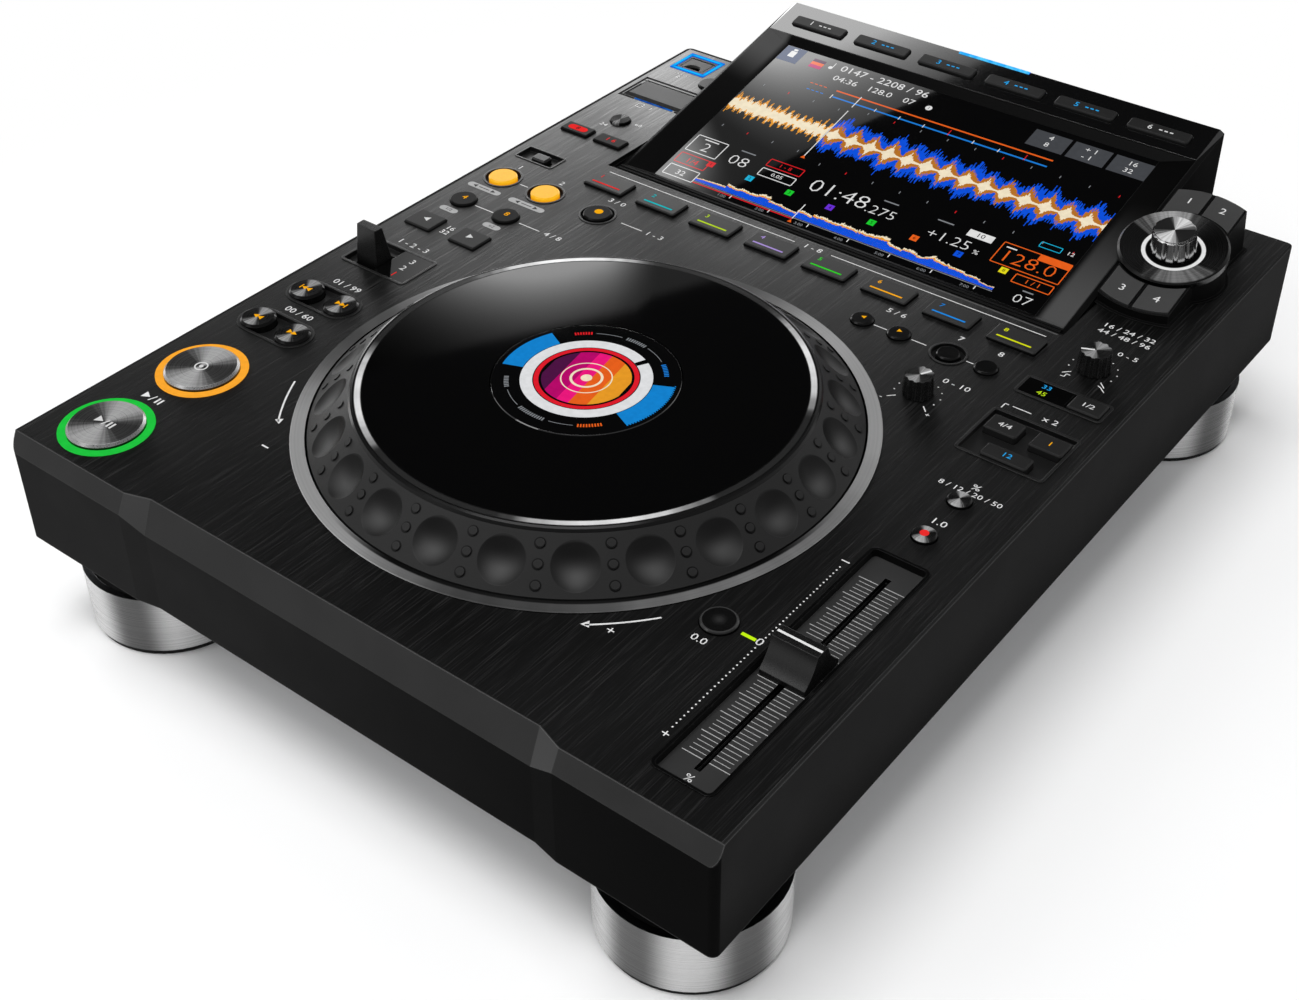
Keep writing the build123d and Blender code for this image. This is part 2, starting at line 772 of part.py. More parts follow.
with BuildPart() as jog_post:
    turned([
        (0, -post_base_level),
        (post_base_radius, -post_base_level),
        (post_base_radius, -post_base_level + post_base_thickness),
        (bearing_outer + 4.0, -post_base_level + post_base_thickness),
        (bearing_outer + 4.0, -12.1),
        (post_radius, -12.1),
        (post_radius, post_top),
        (post_radius - 4.0, post_top),
        (post_radius - 4.0, -post_base_level + post_base_thickness),
        (0, -post_base_level + post_base_thickness),
    ])
    with BuildSketch(panel.offset(-post_base_level)):
        with Locations((0, jog_y)):
            with PolarLocations(post_leg_circle, 4, start_angle=45):
                Circle(post_leg_radius)
    extrude(amount=-(skirt_height - sheet - post_base_level))
write(jog_post, "jog_post")

with BuildPart() as jog_display:
    turned([
        (0, post_top),
        (display_radius, post_top),
        (display_radius, platter_top - 0.3),
        (display_radius - 0.3, platter_top),
        (0, platter_top),
    ])
write(jog_display, "jog_display")

# ---- bezels: rimmed cups that the recessed keys stand in ----------------------------------
cup_floor_top = -bezel_floor + 1.0


def build_cup(outline, place, rim, floor_depth=bezel_floor):
    """A cup let into the panel: outline(place, extra) is its outer edge, with a rim inside."""
    with BuildSketch(panel.offset(-floor_depth)) as body:
        outline(place, 0.0)
    extrude(body.sketch, amount=floor_depth + bezel_lip)
    with BuildSketch(panel.offset(-floor_depth + 1.0)) as hollow:
        outline(place, -rim)
    extrude(hollow.sketch, amount=floor_depth + bezel_lip, mode=Mode.SUBTRACT)


def slot_outline(place, extra):
    """Outline of a search key recess, grown by extra all round."""
    with Locations(place):
        SlotOverall(search_bezel_size[0] + 2 * extra, search_bezel_size[1] + 2 * extra)


def pierce(outline, places, extra=hole_fit):
    """Key holes through a cup's floor."""
    with BuildSketch(panel.offset(-bezel_floor - 1)) as holes:
        outline(places, extra)
    extrude(holes.sketch, amount=3, mode=Mode.SUBTRACT)


def circle_of(radius):
    """Outline function for circles of one radius."""
    return lambda places, extra: round_spots(places, radius + extra)


def square_of(size, rounding=1.0):
    """Outline function for rounded rectangles of one size."""
    return lambda places, extra: square_spots(places, size, extra, rounding)


ear_gap = lever_base[0] / 2 + running_gap
ear_thickness = 2.2
ear_bottom = board_top - 1.0
swing_room = 3.2

with BuildPart() as key_bezels:
    build_cup(slot_outline, (left_column_x, search_y), bezel_rim)
    build_cup(slot_outline, (left_column_x, track_search_y), bezel_rim)
    build_cup(square_of(mode_bezel_size, 2.0), [mode_bezel_center], bezel_rim)
    build_cup(square_of(sync_bezel_size, 2.0), [sync_bezel_center], bezel_rim)
    build_cup(square_of(direction_bezel_size, 2.0), [direction_bezel_center], bezel_rim)
    build_cup(square_of(call_slot_size, 1.5), [call_slot_center], 0.8)
    build_cup(circle_of(loop_rim_radius), [loop_in_place, loop_out_place], 0.9)
    build_cup(circle_of(reloop_rim_radius), [reloop_place], 0.9)
    build_cup(circle_of(delete_rim_radius), [delete_place], 0.9)
    # label windows: flush slabs beside the lever and beside the mode key
    with BuildSketch(panel.offset(cup_floor_top)):
        with Locations((direction_window_left, direction_bezel_center[1])):
            window_end = direction_bezel_center[0] + direction_bezel_size[0] / 2 - bezel_rim
            Rectangle(window_end - direction_window_left, direction_bezel_size[1] - 2 * bezel_rim,
                      align=(Align.MIN, Align.CENTER))
        with Locations((mode_bezel_center[0] - mode_bezel_size[0] / 2 + bezel_rim, mode_bezel_center[1])):
            mode_key_left = mode_key_center[0] - mode_key_size[0] / 2 - 1.2
            mode_left = mode_bezel_center[0] - mode_bezel_size[0] / 2 + bezel_rim
            Rectangle(mode_key_left - mode_left, mode_bezel_size[1] - 2 * bezel_rim,
                      align=(Align.MIN, Align.CENTER))
    extrude(amount=-cup_floor_top + bezel_lip - 0.1)
    pierce(circle_of(search_key_radius), search_places + track_places)
    pierce(square_of(mode_key_size), [mode_key_center])
    pierce(square_of(sync_key_size), [beat_sync_center, master_center])
    pierce(square_of(key_sync_size), [key_sync_center])
    pierce(circle_of(loop_key_radius), [loop_in_place, loop_out_place, reloop_place])
    pierce(circle_of(call_key_radius), [delete_place])
    # slots that the two levers move in
    with BuildSketch(panel.offset(-bezel_floor - 1)):
        with Locations(lever_center):
            Rectangle(lever_base[0] + 2 * running_gap, lever_base[1] + 2 * swing_room)
        with Locations(call_lever_center):
            Rectangle(3.0 + 2 * 4.0, 3.0)
    extrude(amount=3, mode=Mode.SUBTRACT)
    # ears under the direction bezel that carry the lever's pin
    for side in (-1, 1):
        with BuildSketch(panel.offset(-bezel_floor)):
            with Locations((lever_center[0] + side * (ear_gap + ear_thickness / 2), lever_center[1])):
                Rectangle(ear_thickness, 8.0)
        extrude(amount=-(ear_bottom - bezel_floor))
    with BuildSketch(across(lever_center[0] - 12)):
        with Locations((lever_center[1], -lever_pivot_drop)):
            Circle(lever_pin_radius + bearing_fit)
    extrude(amount=24, mode=Mode.SUBTRACT)
write(key_bezels, "key_bezels")

# ---- direction lever ---------------------------------------------------------------------
with BuildPart() as direction_lever:
    with BuildSketch(panel.offset(-lever_pivot_drop)):
        square_spots([lever_center], lever_base, 0, 0.6)
    with BuildSketch(panel):
        square_spots([lever_center], lever_base, 0, 0.6)
    with BuildSketch(panel.offset(lever_top)):
        square_spots([(lever_center[0], lever_center[1] - 0.9)], lever_tip, 0, 0.6)
    loft(ruled=True)
    with BuildSketch(across(lever_center[0] - lever_base[0] / 2)):
        with Locations((lever_center[1], -lever_pivot_drop)):
            Circle(3.4)
    extrude(amount=lever_base[0])
    with BuildSketch(across(lever_center[0] - lever_pin_length / 2)):
        with Locations((lever_center[1], -lever_pivot_drop)):
            Circle(lever_pin_radius)
    extrude(amount=lever_pin_length)
write(direction_lever, "direction_lever")

call_lever_bottom = bezel_floor + running_gap + 1.0

with BuildPart() as call_lever:
    with BuildSketch(panel.offset(cup_floor_top + 0.3)):
        square_spots([call_lever_center], call_lever_size, 0, 1.2)
    extrude(amount=call_lever_top - cup_floor_top - 0.3)
    chamfer(faces().sort_by(Axis.Z)[-1].edges(), 0.7)
    with BuildSketch(panel.offset(cup_floor_top + 0.3)):
        with Locations(call_lever_center):
            Rectangle(2.4, 2.4)
    extrude(amount=-(call_lever_bottom + cup_floor_top + 0.3))
    with BuildSketch(panel.offset(-bezel_floor - running_gap)):
        with Locations(call_lever_center):
            Rectangle(2.4, 6.0)
    extrude(amount=-(call_lever_bottom - bezel_floor - running_gap))
write(call_lever, "call_lever")

# ---- keys --------------------------------------------------------------------------------
with BuildPart() as play_key:
    round_keys([play_key_place], play_key_radius, play_key_top, recess_under, 1.0)
write(play_key, "play_key")

with BuildPart() as cue_key:
    round_keys([cue_key_place], play_key_radius, play_key_top, recess_under, 1.0)
write(cue_key, "cue_key")

with BuildPart() as search_keys:
    round_keys(search_places, search_key_radius, search_key_top, recess_under, 0.9)
write(search_keys, "search_keys")

with BuildPart() as track_search_keys:
    round_keys(track_places, search_key_radius, search_key_top, recess_under, 0.9)
write(track_search_keys, "track_search_keys")

with BuildPart() as beat_jump_keys:
    square_keys(beat_jump_places, beat_jump_size, low_key_top)
write(beat_jump_keys, "beat_jump_keys")

with BuildPart() as beat_loop_keys:
    round_keys(beat_loop_places, beat_loop_radius, low_key_top)
write(beat_loop_keys, "beat_loop_keys")

for loop_name, loop_place in (
    ("loop_in_key", loop_in_place),
    ("loop_out_key", loop_out_place),
    ("reloop_key", reloop_place),
):
    with BuildPart() as loop_key:
        round_keys([loop_place], loop_key_radius, loop_key_top, recess_under, 0.6)
    write(loop_key, loop_name)

with BuildPart() as rear_left_keys:
    square_keys(edit_places, edit_key_size, low_key_top)
    round_keys([time_key_place], time_key_radius, low_key_top)
    round_keys([usb_stop_place], usb_stop_radius, low_key_top)
write(rear_left_keys, "rear_left_keys")

for index, pad_place in enumerate(pad_places):
    with BuildPart() as hot_cue_pad:
        square_keys([pad_place], pad_size, pad_top)
    write(hot_cue_pad, f"hot_cue_pad_{index + 1}")

with BuildPart() as call_keys:
    round_keys(call_places, call_key_radius, low_key_top, flange_top, 0.6)
    round_keys([delete_place], call_key_radius, low_key_top - 0.4, recess_under, 0.6)
write(call_keys, "call_keys")

with BuildPart() as tempo_keys:
    round_keys([range_place, master_tempo_place], tempo_key_radius, low_key_top + 0.4, flange_top, 0.6)
    round_keys([tempo_reset_place], tempo_reset_radius, low_key_top)
write(tempo_keys, "tempo_keys")

with BuildPart() as jog_mode_key:
    square_keys([mode_key_center], mode_key_size, low_key_top, recess_under)
write(jog_mode_key, "jog_mode_key")

with BuildPart() as sync_keys:
    square_keys([beat_sync_center], sync_key_size, low_key_top, recess_under)
    square_keys([key_sync_center], key_sync_size, low_key_top, recess_under)
write(sync_keys, "sync_keys")

with BuildPart() as master_key:
    square_keys([master_center], sync_key_size, low_key_top, recess_under)
write(master_key, "master_key")


# ---- knobs -------------------------------------------------------------------------------
pot_radius = 5.5
pot_height = 6.0
shaft_bottom = board_top - 0.3


def fluted_spot(place, radius):
    """A circle with shallow finger flutes cut round its edge."""
    with Locations(place):
        Circle(radius)
        with PolarLocations(radius + 0.7, flute_count):
            Circle(1.3, mode=Mode.SUBTRACT)


def build_knob(place, radius, top):
    """A fluted knob with its shaft, standing a little off the panel."""
    with BuildSketch(panel.offset(knob_lift)) as foot:
        fluted_spot(place, radius + knob_taper)
    with BuildSketch(panel.offset(top)) as crown:
        fluted_spot(place, radius)
    loft([foot.sketch, crown.sketch], ruled=True)
    with BuildSketch(panel.offset(knob_lift)) as shaft:
        round_spots([place], knob_shaft_radius)
    extrude(shaft.sketch, amount=-(shaft_bottom + knob_lift))


with BuildPart() as jog_adjust_knob:
    build_knob(jog_knob_place, jog_knob_radius, jog_knob_top)
write(jog_adjust_knob, "jog_adjust_knob")

with BuildPart() as speed_knob:
    build_knob(speed_knob_place, speed_knob_radius, speed_knob_top)
write(speed_knob, "speed_knob")

# ---- tempo slider ------------------------------------------------------------------------
tray_bottom = tray_floor + tray_floor_thickness
cap_bottom = -tray_floor + cap_lift
slot_length = slider_travel + cap_stem[1] + 2 * 0.6
fader_top = tray_bottom + seat_gap
fader_length = slot_length + 8.0

with BuildPart() as slider_tray:
    with BuildSketch(panel.offset(-tray_bottom)):
        with Locations((slider_x, slider_y)):
            RectangleRounded(tray_size[0], tray_size[1], tray_round)
    extrude(amount=tray_bottom + bezel_lip)
    with BuildSketch(panel.offset(-tray_floor)):
        with Locations((slider_x, slider_y)):
            RectangleRounded(tray_size[0] - 2 * tray_rim, tray_size[1] - 2 * tray_rim, tray_round - tray_rim)
    extrude(amount=tray_floor + bezel_lip, mode=Mode.SUBTRACT)
    with BuildSketch(panel.offset(-tray_bottom)):
        with Locations((slider_x, slider_y)):
            Rectangle(slot_width, slot_length)
    extrude(amount=tray_bottom, mode=Mode.SUBTRACT)
write(slider_tray, "slider_tray")

with BuildPart() as tempo_fader:
    with BuildSketch(panel.offset(-fader_top)):
        with Locations((slider_x, slider_y)):
            Rectangle(fader_width, fader_length)
    extrude(amount=-fader_height)
    with BuildSketch(panel.offset(-fader_top - fader_wall)):
        with Locations((slider_x, slider_y)):
            Rectangle(fader_width - 2 * fader_wall, fader_length - 2 * fader_wall)
    extrude(amount=-(fader_height - 2 * fader_wall), mode=Mode.SUBTRACT)
    with BuildSketch(panel.offset(-fader_top)):
        with Locations((slider_x, slider_y)):
            Rectangle(slot_width, slot_length)
    extrude(amount=-fader_wall, mode=Mode.SUBTRACT)
write(tempo_fader, "tempo_fader")

carriage_top = fader_top + fader_wall + running_gap

with BuildPart() as slider_cap:
    half_depth = cap_size[1] / 2
    half_ridge = cap_ridge_width / 2
    with BuildSketch(across(slider_x - cap_size[0] / 2)):
        with BuildLine():
            Polyline(
                (slider_y + half_depth, cap_bottom + 2.0),
                (slider_y + half_depth, cap_bottom),
                (slider_y - half_depth, cap_bottom),
                (slider_y - half_depth, cap_bottom + 2.0),
            )
            ThreePointArc(
                (slider_y - half_depth, cap_bottom + 2.0),
                (slider_y - half_ridge - 2.6, cap_bottom + 6.2),
                (slider_y - half_ridge, cap_ridge_top),
            )
            Line((slider_y - half_ridge, cap_ridge_top), (slider_y + half_ridge, cap_ridge_top))
            ThreePointArc(
                (slider_y + half_ridge, cap_ridge_top),
                (slider_y + half_ridge + 2.6, cap_bottom + 6.2),
                (slider_y + half_depth, cap_bottom + 2.0),
            )
        make_face()
    extrude(amount=cap_size[0])
    with BuildSketch(panel.offset(cap_bottom)):
        with Locations((slider_x, slider_y)):
            Rectangle(*cap_stem)
    extrude(amount=-(carriage_top + 2.4 + cap_bottom))
    with BuildSketch(panel.offset(-carriage_top)):
        with Locations((slider_x, slider_y)):
            Rectangle(fader_width - 2 * fader_wall - 2 * running_gap, cap_stem[1])
    extrude(amount=-2.4)
write(slider_cap, "slider_cap")

# ---- screen hump -------------------------------------------------------------------------
hump_skin = 6.0
hump_rear_z = screen_line_z + (overall_depth - screen_line_y) * tan(tilt)
hump_start_y = screen_line_y + (-flange_level - screen_line_z) / tan(tilt)
hump_inner_half = hump_half_width - 3.5
flange_thickness_hump = 1.5
flange_reach = 1.5
sill_y = body_depth + 0.3
bezel_v = (bezel_start, bezel_end)
bezel_center = (0, middle(bezel_v))
lit_center = (0, lit_start + lit_size[1] / 2)
strip_places = [((index - 2.5) * strip_key_pitch, strip_key_v) for index in range(6)]
strip_boss_places = [(index * strip_key_pitch, strip_key_v) for index in (-2, 0, 2)]


def deck_z(y, off=0.0):
    """Height of the tilted deck at y, for a level lowered by off along the deck's normal."""
    return screen_line_z + (y - screen_line_y) * tan(tilt) - off / cos(tilt)


with BuildPart() as hump_case:
    with BuildSketch(across(-hump_half_width)):
        with BuildLine():
            Polyline(
                (hump_start_y, -flange_level),
                (overall_depth, hump_rear_z),
                (overall_depth, -hump_under),
                (sill_y, -hump_under),
                (sill_y, -flange_level),
                close=True,
            )
        make_face()
    extrude(amount=2 * hump_half_width)
    # flange that lies under the edge of the top panel, with a deeper bar at the front
    with BuildSketch(panel.offset(-flange_level)):
        with Locations((0, hump_front - 2.6)):
            Rectangle(2 * (hump_cutout_half + flange_reach), inner_rear - hump_front + 2.2,
                      align=(Align.CENTER, Align.MIN))
    extrude(amount=-flange_thickness_hump)
    with BuildSketch(panel.offset(-flange_level)):
        with Locations((0, hump_front + 3)):
            Rectangle(2 * hump_half_width, 13, align=(Align.CENTER, Align.MIN))
    extrude(amount=-6)
    # hollow inside, open to the body below and closed over the rear overhang
    inner_front_y = hump_front + 16
    with BuildSketch(across(-hump_inner_half)):
        with BuildLine():
            Polyline(
                (inner_front_y, -flange_level - 10),
                (inner_front_y, deck_z(inner_front_y, hump_skin)),
                (overall_depth - hump_wall, deck_z(overall_depth - hump_wall, hump_skin)),
                (overall_depth - hump_wall, -hump_under + hump_wall),
                (sill_y + hump_wall, -hump_under + hump_wall),
                (sill_y + hump_wall, 0.6),
                (inner_rear - 0.4, 0.6),
                (inner_rear - 0.4, -flange_level - 10),
                close=True,
            )
        make_face()
    extrude(amount=2 * hump_inner_half, mode=Mode.SUBTRACT)
    # opening for the screen bezel with a ledge under it
    with BuildSketch(screen.offset(-bezel_thickness)):
        with Locations(bezel_center):
            Rectangle(2 * bezel_half_width + 0.2, length(bezel_v) + 0.2)
    extrude(amount=bezel_thickness + 2, mode=Mode.SUBTRACT)
    with BuildSketch(screen.offset(-bezel_thickness - 10)):
        with Locations(bezel_center):
            Rectangle(2 * bezel_half_width - 4, length(bezel_v) - 4)
    extrude(amount=12, mode=Mode.SUBTRACT)
    # strip behind the screen: thinned from below, with the holes of its six keys
    with BuildSketch(screen.offset(-hump_skin - 1)):
        with Locations((0, strip_key_v)):
            Rectangle(2 * hump_inner_half, 12)
    extrude(amount=hump_skin + 1 - 2.5, mode=Mode.SUBTRACT)
    with BuildSketch(screen.offset(-4)):
        square_spots(strip_places, strip_key_size, hole_fit, 1.4)
    extrude(amount=6, mode=Mode.SUBTRACT)
    # slanted border along both sides of the deck
    edge_origin = screen.from_local_coords((0, -15, 0))
    edge_plane = Plane(origin=edge_origin, x_dir=(1, 0, 0), z_dir=(0, cos(tilt), sin(tilt)))
    with BuildSketch(edge_plane):
        for side in (-1, 1):
            with BuildLine():
                Polyline(
                    (side * (hump_half_width - hump_edge_width), 0),
                    (side * (hump_half_width + 1), hump_edge_drop * (hump_edge_width + 1) / hump_edge_width),
                    (side * (hump_half_width + 1), -1),
                    (side * (hump_half_width - hump_edge_width), -1),
                    close=True,
                )
            make_face()
    extrude(amount=190, mode=Mode.SUBTRACT)
    # seat of the light bar in the rear top edge
    with BuildSketch(screen.offset(1)):
        with Locations((0, rear_v + 3)):
            Rectangle(light_bar_length + 0.2, light_bar_width + 3 + 0.1, align=(Align.CENTER, Align.MAX))
    extrude(amount=-3.1, mode=Mode.SUBTRACT)
    # notch in the flange beside the card bay
    with BuildSketch(panel.offset(-flange_level)):
        square_spots([sd_center], sd_size, running_gap)
    extrude(amount=-flange_thickness_hump, mode=Mode.SUBTRACT)
    # bosses that carry the strip keys' board
    with BuildSketch(screen.offset(-2.5)):
        round_spots(strip_boss_places, board_stud_radius)
    extrude(amount=-(board_top - 2.5))
    # three ribs on the level strip in front of the screen
    with BuildSketch(panel.offset(-flange_level)):
        with Locations((0, hump_front + 4.0)):
            with GridLocations(1, 2.3, 1, 3):
                Rectangle(2 * hump_half_width - 3, 0.9)
    extrude(amount=0.7)
    add(pod_clearance.part, mode=Mode.SUBTRACT)
write(hump_case, "hump_case")

with BuildPart() as screen_bezel:
    with BuildSketch(screen.offset(-bezel_thickness)):
        with Locations(bezel_center):
            Rectangle(2 * bezel_half_width, length(bezel_v))
    extrude(amount=bezel_thickness)
    with BuildSketch(screen):
        with Locations(bezel_center):
            Rectangle(2 * bezel_half_width - 1.2, length(bezel_v) - 1.2)
    with BuildSketch(screen.offset(-lit_drop)):
        with Locations(lit_center):
            Rectangle(*lit_size)
    loft(ruled=True, mode=Mode.SUBTRACT)
    with BuildSketch(screen.offset(-bezel_thickness)):
        with Locations(lit_center):
            Rectangle(*lit_size)
    extrude(amount=bezel_thickness, mode=Mode.SUBTRACT)
write(screen_bezel, "screen_bezel")

with BuildPart() as touch_screen:
    with BuildSketch(screen.offset(-lit_drop)):
        with Locations(lit_center):
            Rectangle(lit_size[0] - 2 * seat_gap, lit_size[1] - 2 * seat_gap)
    extrude(amount=-(bezel_thickness - lit_drop + seat_gap))
    with BuildSketch(screen.offset(-bezel_thickness - seat_gap)):
        with Locations(bezel_center):
            Rectangle(2 * bezel_half_width - 4.6, length(bezel_v) - 4.6)
    extrude(amount=-lcd_thickness)
write(touch_screen, "touch_screen")

strip_flange_size = (strip_key_size[0] + 2 * key_flange, strip_key_size[1] + 2 * key_flange)

with BuildPart() as strip_keys:
    with BuildSketch(screen.offset(-2.7)):
        square_spots(strip_places, strip_key_size, 0, 1.4)
    extrude(amount=2.7 + strip_key_top)
    chamfer(faces(Select.LAST).group_by(Axis(screen.origin, screen.z_dir))[-1].edges(), key_round)
    with BuildSketch(screen.offset(-2.7)):
        square_spots(strip_places, strip_flange_size, 0, 1.4)
    extrude(amount=-flange_thickness)
    with BuildSketch(screen.offset(-2.7 - flange_thickness)):
        round_spots(strip_places, 1.5)
    extrude(amount=-(stem_bottom - 2.7 - flange_thickness))
write(strip_keys, "strip_keys")

# ---- selector pod ------------------------------------------------------------------------
pod_axis_place = (pod_x, pod_v)
pod_pocket_floor = pod_top - 2.0
pod_skin_under = pod_top - 4.0
bush_radius = 5.6
bush_bottom = -7.0
pod_key_hole = 2.4
pod_key_places = [
    (pod_x + side * 7.6, pod_v + end * 31.5) for side in (-1, 1) for end in (-1, 1)
]
pod_key_ring = selector_ring_outer + 1.4
pod_boss_places = [(pod_x, pod_v + end * 31.5) for end in (-1, 1)]
pod_stem_bottom = -4.8
pod_board_top = pod_stem_bottom - 0.1 - switch_height


def pod_quarters(margin):
    """The four key outlines at the ends of the pod, pulled in by margin on every side."""
    pod_face(-pod_key_margin - margin)
    with Locations(pod_axis_place):
        Circle(pod_key_ring + margin, mode=Mode.SUBTRACT)
        Rectangle(pod_key_gap + 2 * margin, 120, mode=Mode.SUBTRACT)


with BuildPart() as pod_base_rim:
    with BuildSketch(screen.offset(pod_top)):
        pod_face_with_hub(pod_rim)
    extrude(amount=-60)
    split(bisect_by=panel.offset(0.5), keep=Keep.BOTTOM)
    split(bisect_by=panel.offset(0.02), keep=Keep.TOP)

with BuildPart() as selector_pod:
    with BuildSketch(screen.offset(pod_top)):
        pod_face_with_hub(0)
    extrude(amount=-60)
    split(bisect_by=panel.offset(-pod_depth), keep=Keep.TOP)
    add(pod_base_rim.part)
    with BuildSketch(screen.offset(pod_skin_under)):
        pod_face(-pod_wall)
    extrude(amount=-60, mode=Mode.SUBTRACT)
    with BuildSketch(screen.offset(pod_skin_under)):
        with Locations(pod_axis_place):
            Circle(bush_radius)
    extrude(amount=-(pod_skin_under - bush_bottom))
    with BuildSketch(screen.offset(pod_skin_under)):
        round_spots(pod_boss_places, board_stud_radius)
    extrude(amount=-(pod_skin_under - pod_board_top))
    # seats of the dished ring and of the lit ring, and the bore of the knob's shaft
    with BuildSketch(screen.offset(selector_ring_bottom)):
        with Locations(pod_axis_place):
            Circle(selector_ring_outer + seat_gap)
    extrude(amount=10, mode=Mode.SUBTRACT)
    with BuildSketch(screen.offset(selector_light_top - 2)):
        with Locations(pod_axis_place):
            Circle(selector_ring_inner)
    extrude(amount=10, mode=Mode.SUBTRACT)
    with BuildSketch(screen.offset(bush_bottom - 1)):
        with Locations(pod_axis_place):
            Circle(knob_shaft_radius + bearing_fit)
    extrude(amount=20, mode=Mode.SUBTRACT)
    with BuildSketch(screen.offset(pod_pocket_floor)):
        pod_quarters(-hole_fit)
    extrude(amount=10, mode=Mode.SUBTRACT)
    with BuildSketch(screen.offset(pod_skin_under - 1)):
        round_spots(pod_key_places, pod_key_hole)
    extrude(amount=10, mode=Mode.SUBTRACT)
write(selector_pod, "selector_pod")

pod_axis_origin = screen.from_local_coords((pod_x, pod_v, 0))
pod_axis = Axis(pod_axis_origin, screen.z_dir)
pod_section = Plane(origin=pod_axis_origin, x_dir=(1, 0, 0), z_dir=(0, -cos(tilt), -sin(tilt)))

with BuildPart() as selector_ring:
    with BuildSketch(pod_section):
        with BuildLine():
            Polyline(
                (selector_ring_inner, selector_ring_bottom + 0.02),
                (selector_ring_outer, selector_ring_bottom + 0.02),
                (selector_ring_outer, selector_ring_top - 1.0),
                (selector_ring_outer - 1.0, selector_ring_top),
                (selector_ring_inner, selector_ring_top - selector_dish),
                close=True,
            )
        make_face()
    revolve(axis=pod_axis)
write(selector_ring, "selector_ring")

with BuildPart() as selector_knob:
    knob_foot = selector_light_top + running_gap
    with BuildSketch(screen.offset(knob_foot)):
        fluted_spot(pod_axis_place, selector_knob_radius)
    with BuildSketch(screen.offset(selector_knob_top - 0.8)):
        fluted_spot(pod_axis_place, selector_knob_tip + 0.2)
    loft(ruled=True)
    with BuildSketch(screen.offset(selector_knob_top - 0.8)):
        with Locations(pod_axis_place):
            Circle(selector_knob_tip - 0.6)
    extrude(amount=0.8)
    with BuildSketch(screen.offset(knob_foot)):
        with Locations(pod_axis_place):
            Circle(knob_shaft_radius)
    extrude(amount=-(knob_foot - bush_bottom - 0.5))
write(selector_knob, "selector_knob")

with BuildPart() as pod_keys:
    pod_cap_bottom = pod_pocket_floor + key_travel + seat_gap
    with BuildSketch(screen.offset(pod_cap_bottom)):
        pod_quarters(0)
    extrude(amount=pod_key_top - pod_cap_bottom)
    with BuildSketch(screen.offset(pod_cap_bottom)):
        round_spots(pod_key_places, pod_key_hole - running_gap)
    extrude(amount=-(pod_cap_bottom - pod_stem_bottom))
    with BuildSketch(screen.offset(pod_skin_under - 0.2)):
        round_spots(pod_key_places, pod_key_hole + 0.8)
    extrude(amount=-1.0)
write(pod_keys, "pod_keys")

# ---- light pipes: every lit diffuser ------------------------------------------------------
with BuildPart() as light_pipes:
    with BuildSketch(panel.offset(-bezel_floor)):
        round_spots([play_key_place, cue_key_place], light_ring_radius)
        with Locations(play_key_place, cue_key_place):
            Circle(play_key_radius + running_gap, mode=Mode.SUBTRACT)
    extrude(amount=bezel_floor + light_ring_top)
    with BuildSketch(panel.offset(-panel_thickness)):
        with Locations(tempo_light_place):
            Rectangle(*tempo_light_size)
        with Locations(sd_light_place):
            Rectangle(*sd_light_size)
    extrude(amount=panel_thickness + 0.2)
    with BuildSketch(panel.offset(-panel_thickness)):
        square_spots([usb_bay_center], usb_light_size, 0, 0.6)
        with Locations(usb_bay_center):
            Rectangle(usb_bay_size[0] + 0.1, usb_bay_size[1] + 0.1, mode=Mode.SUBTRACT)
    extrude(amount=panel_thickness + 0.2)
    with BuildSketch(screen.offset(selector_light_top)):
        with Locations(pod_axis_place):
            Circle(selector_ring_inner - seat_gap)
            Circle(knob_shaft_radius + running_gap, mode=Mode.SUBTRACT)
    extrude(amount=-1.95)
    with BuildSketch(screen.offset(0.3)):
        with Locations((0, rear_v)):
            Rectangle(light_bar_length, light_bar_width, align=(Align.CENTER, Align.MAX))
    extrude(amount=-2.3)
write(light_pipes, "light_pipes")

# ---- media bays and their covers -----------------------------------------------------------
door_pin_reach = 0.9
card_size = (24.4, 2.6)
card_guide_height = 5.0
stick_size = (12.3, 4.9)
stick_socket_height = 7.0
pin_level = door_thickness / 2
cover_margin = 2 * (bay_wall + door_gap)
sd_door_size = (sd_size[0] - cover_margin, sd_size[1] - cover_margin)
usb_cover_size = (usb_bay_size[0] - cover_margin, usb_bay_size[1] - cover_margin)
sd_hinge_y = sd_center[1] + sd_door_size[1] / 2 - pin_level
usb_hinge_y = usb_bay_center[1] + usb_cover_size[1] / 2 - pin_level


def build_bay(center, size, hinge_y):
    """A cup under the panel with pin holes near the rear of its side walls."""
    with BuildSketch(panel.offset(-bay_depth)) as body:
        square_spots([center], size, 0, 0.6)
    extrude(body.sketch, amount=bay_depth)
    with BuildSketch(panel.offset(-bay_depth + bay_wall)) as hollow:
        with Locations(center):
            Rectangle(size[0] - 2 * bay_wall, size[1] - 2 * bay_wall)
    extrude(hollow.sketch, amount=bay_depth, mode=Mode.SUBTRACT)
    half_span = size[0] / 2 - bay_wall + 1.0
    with BuildSketch(across(center[0] - half_span)) as pin_bore:
        with Locations((hinge_y, -pin_level)):
            Circle(door_pin_radius + bearing_fit)
    extrude(pin_bore.sketch, amount=2 * half_span, mode=Mode.SUBTRACT)


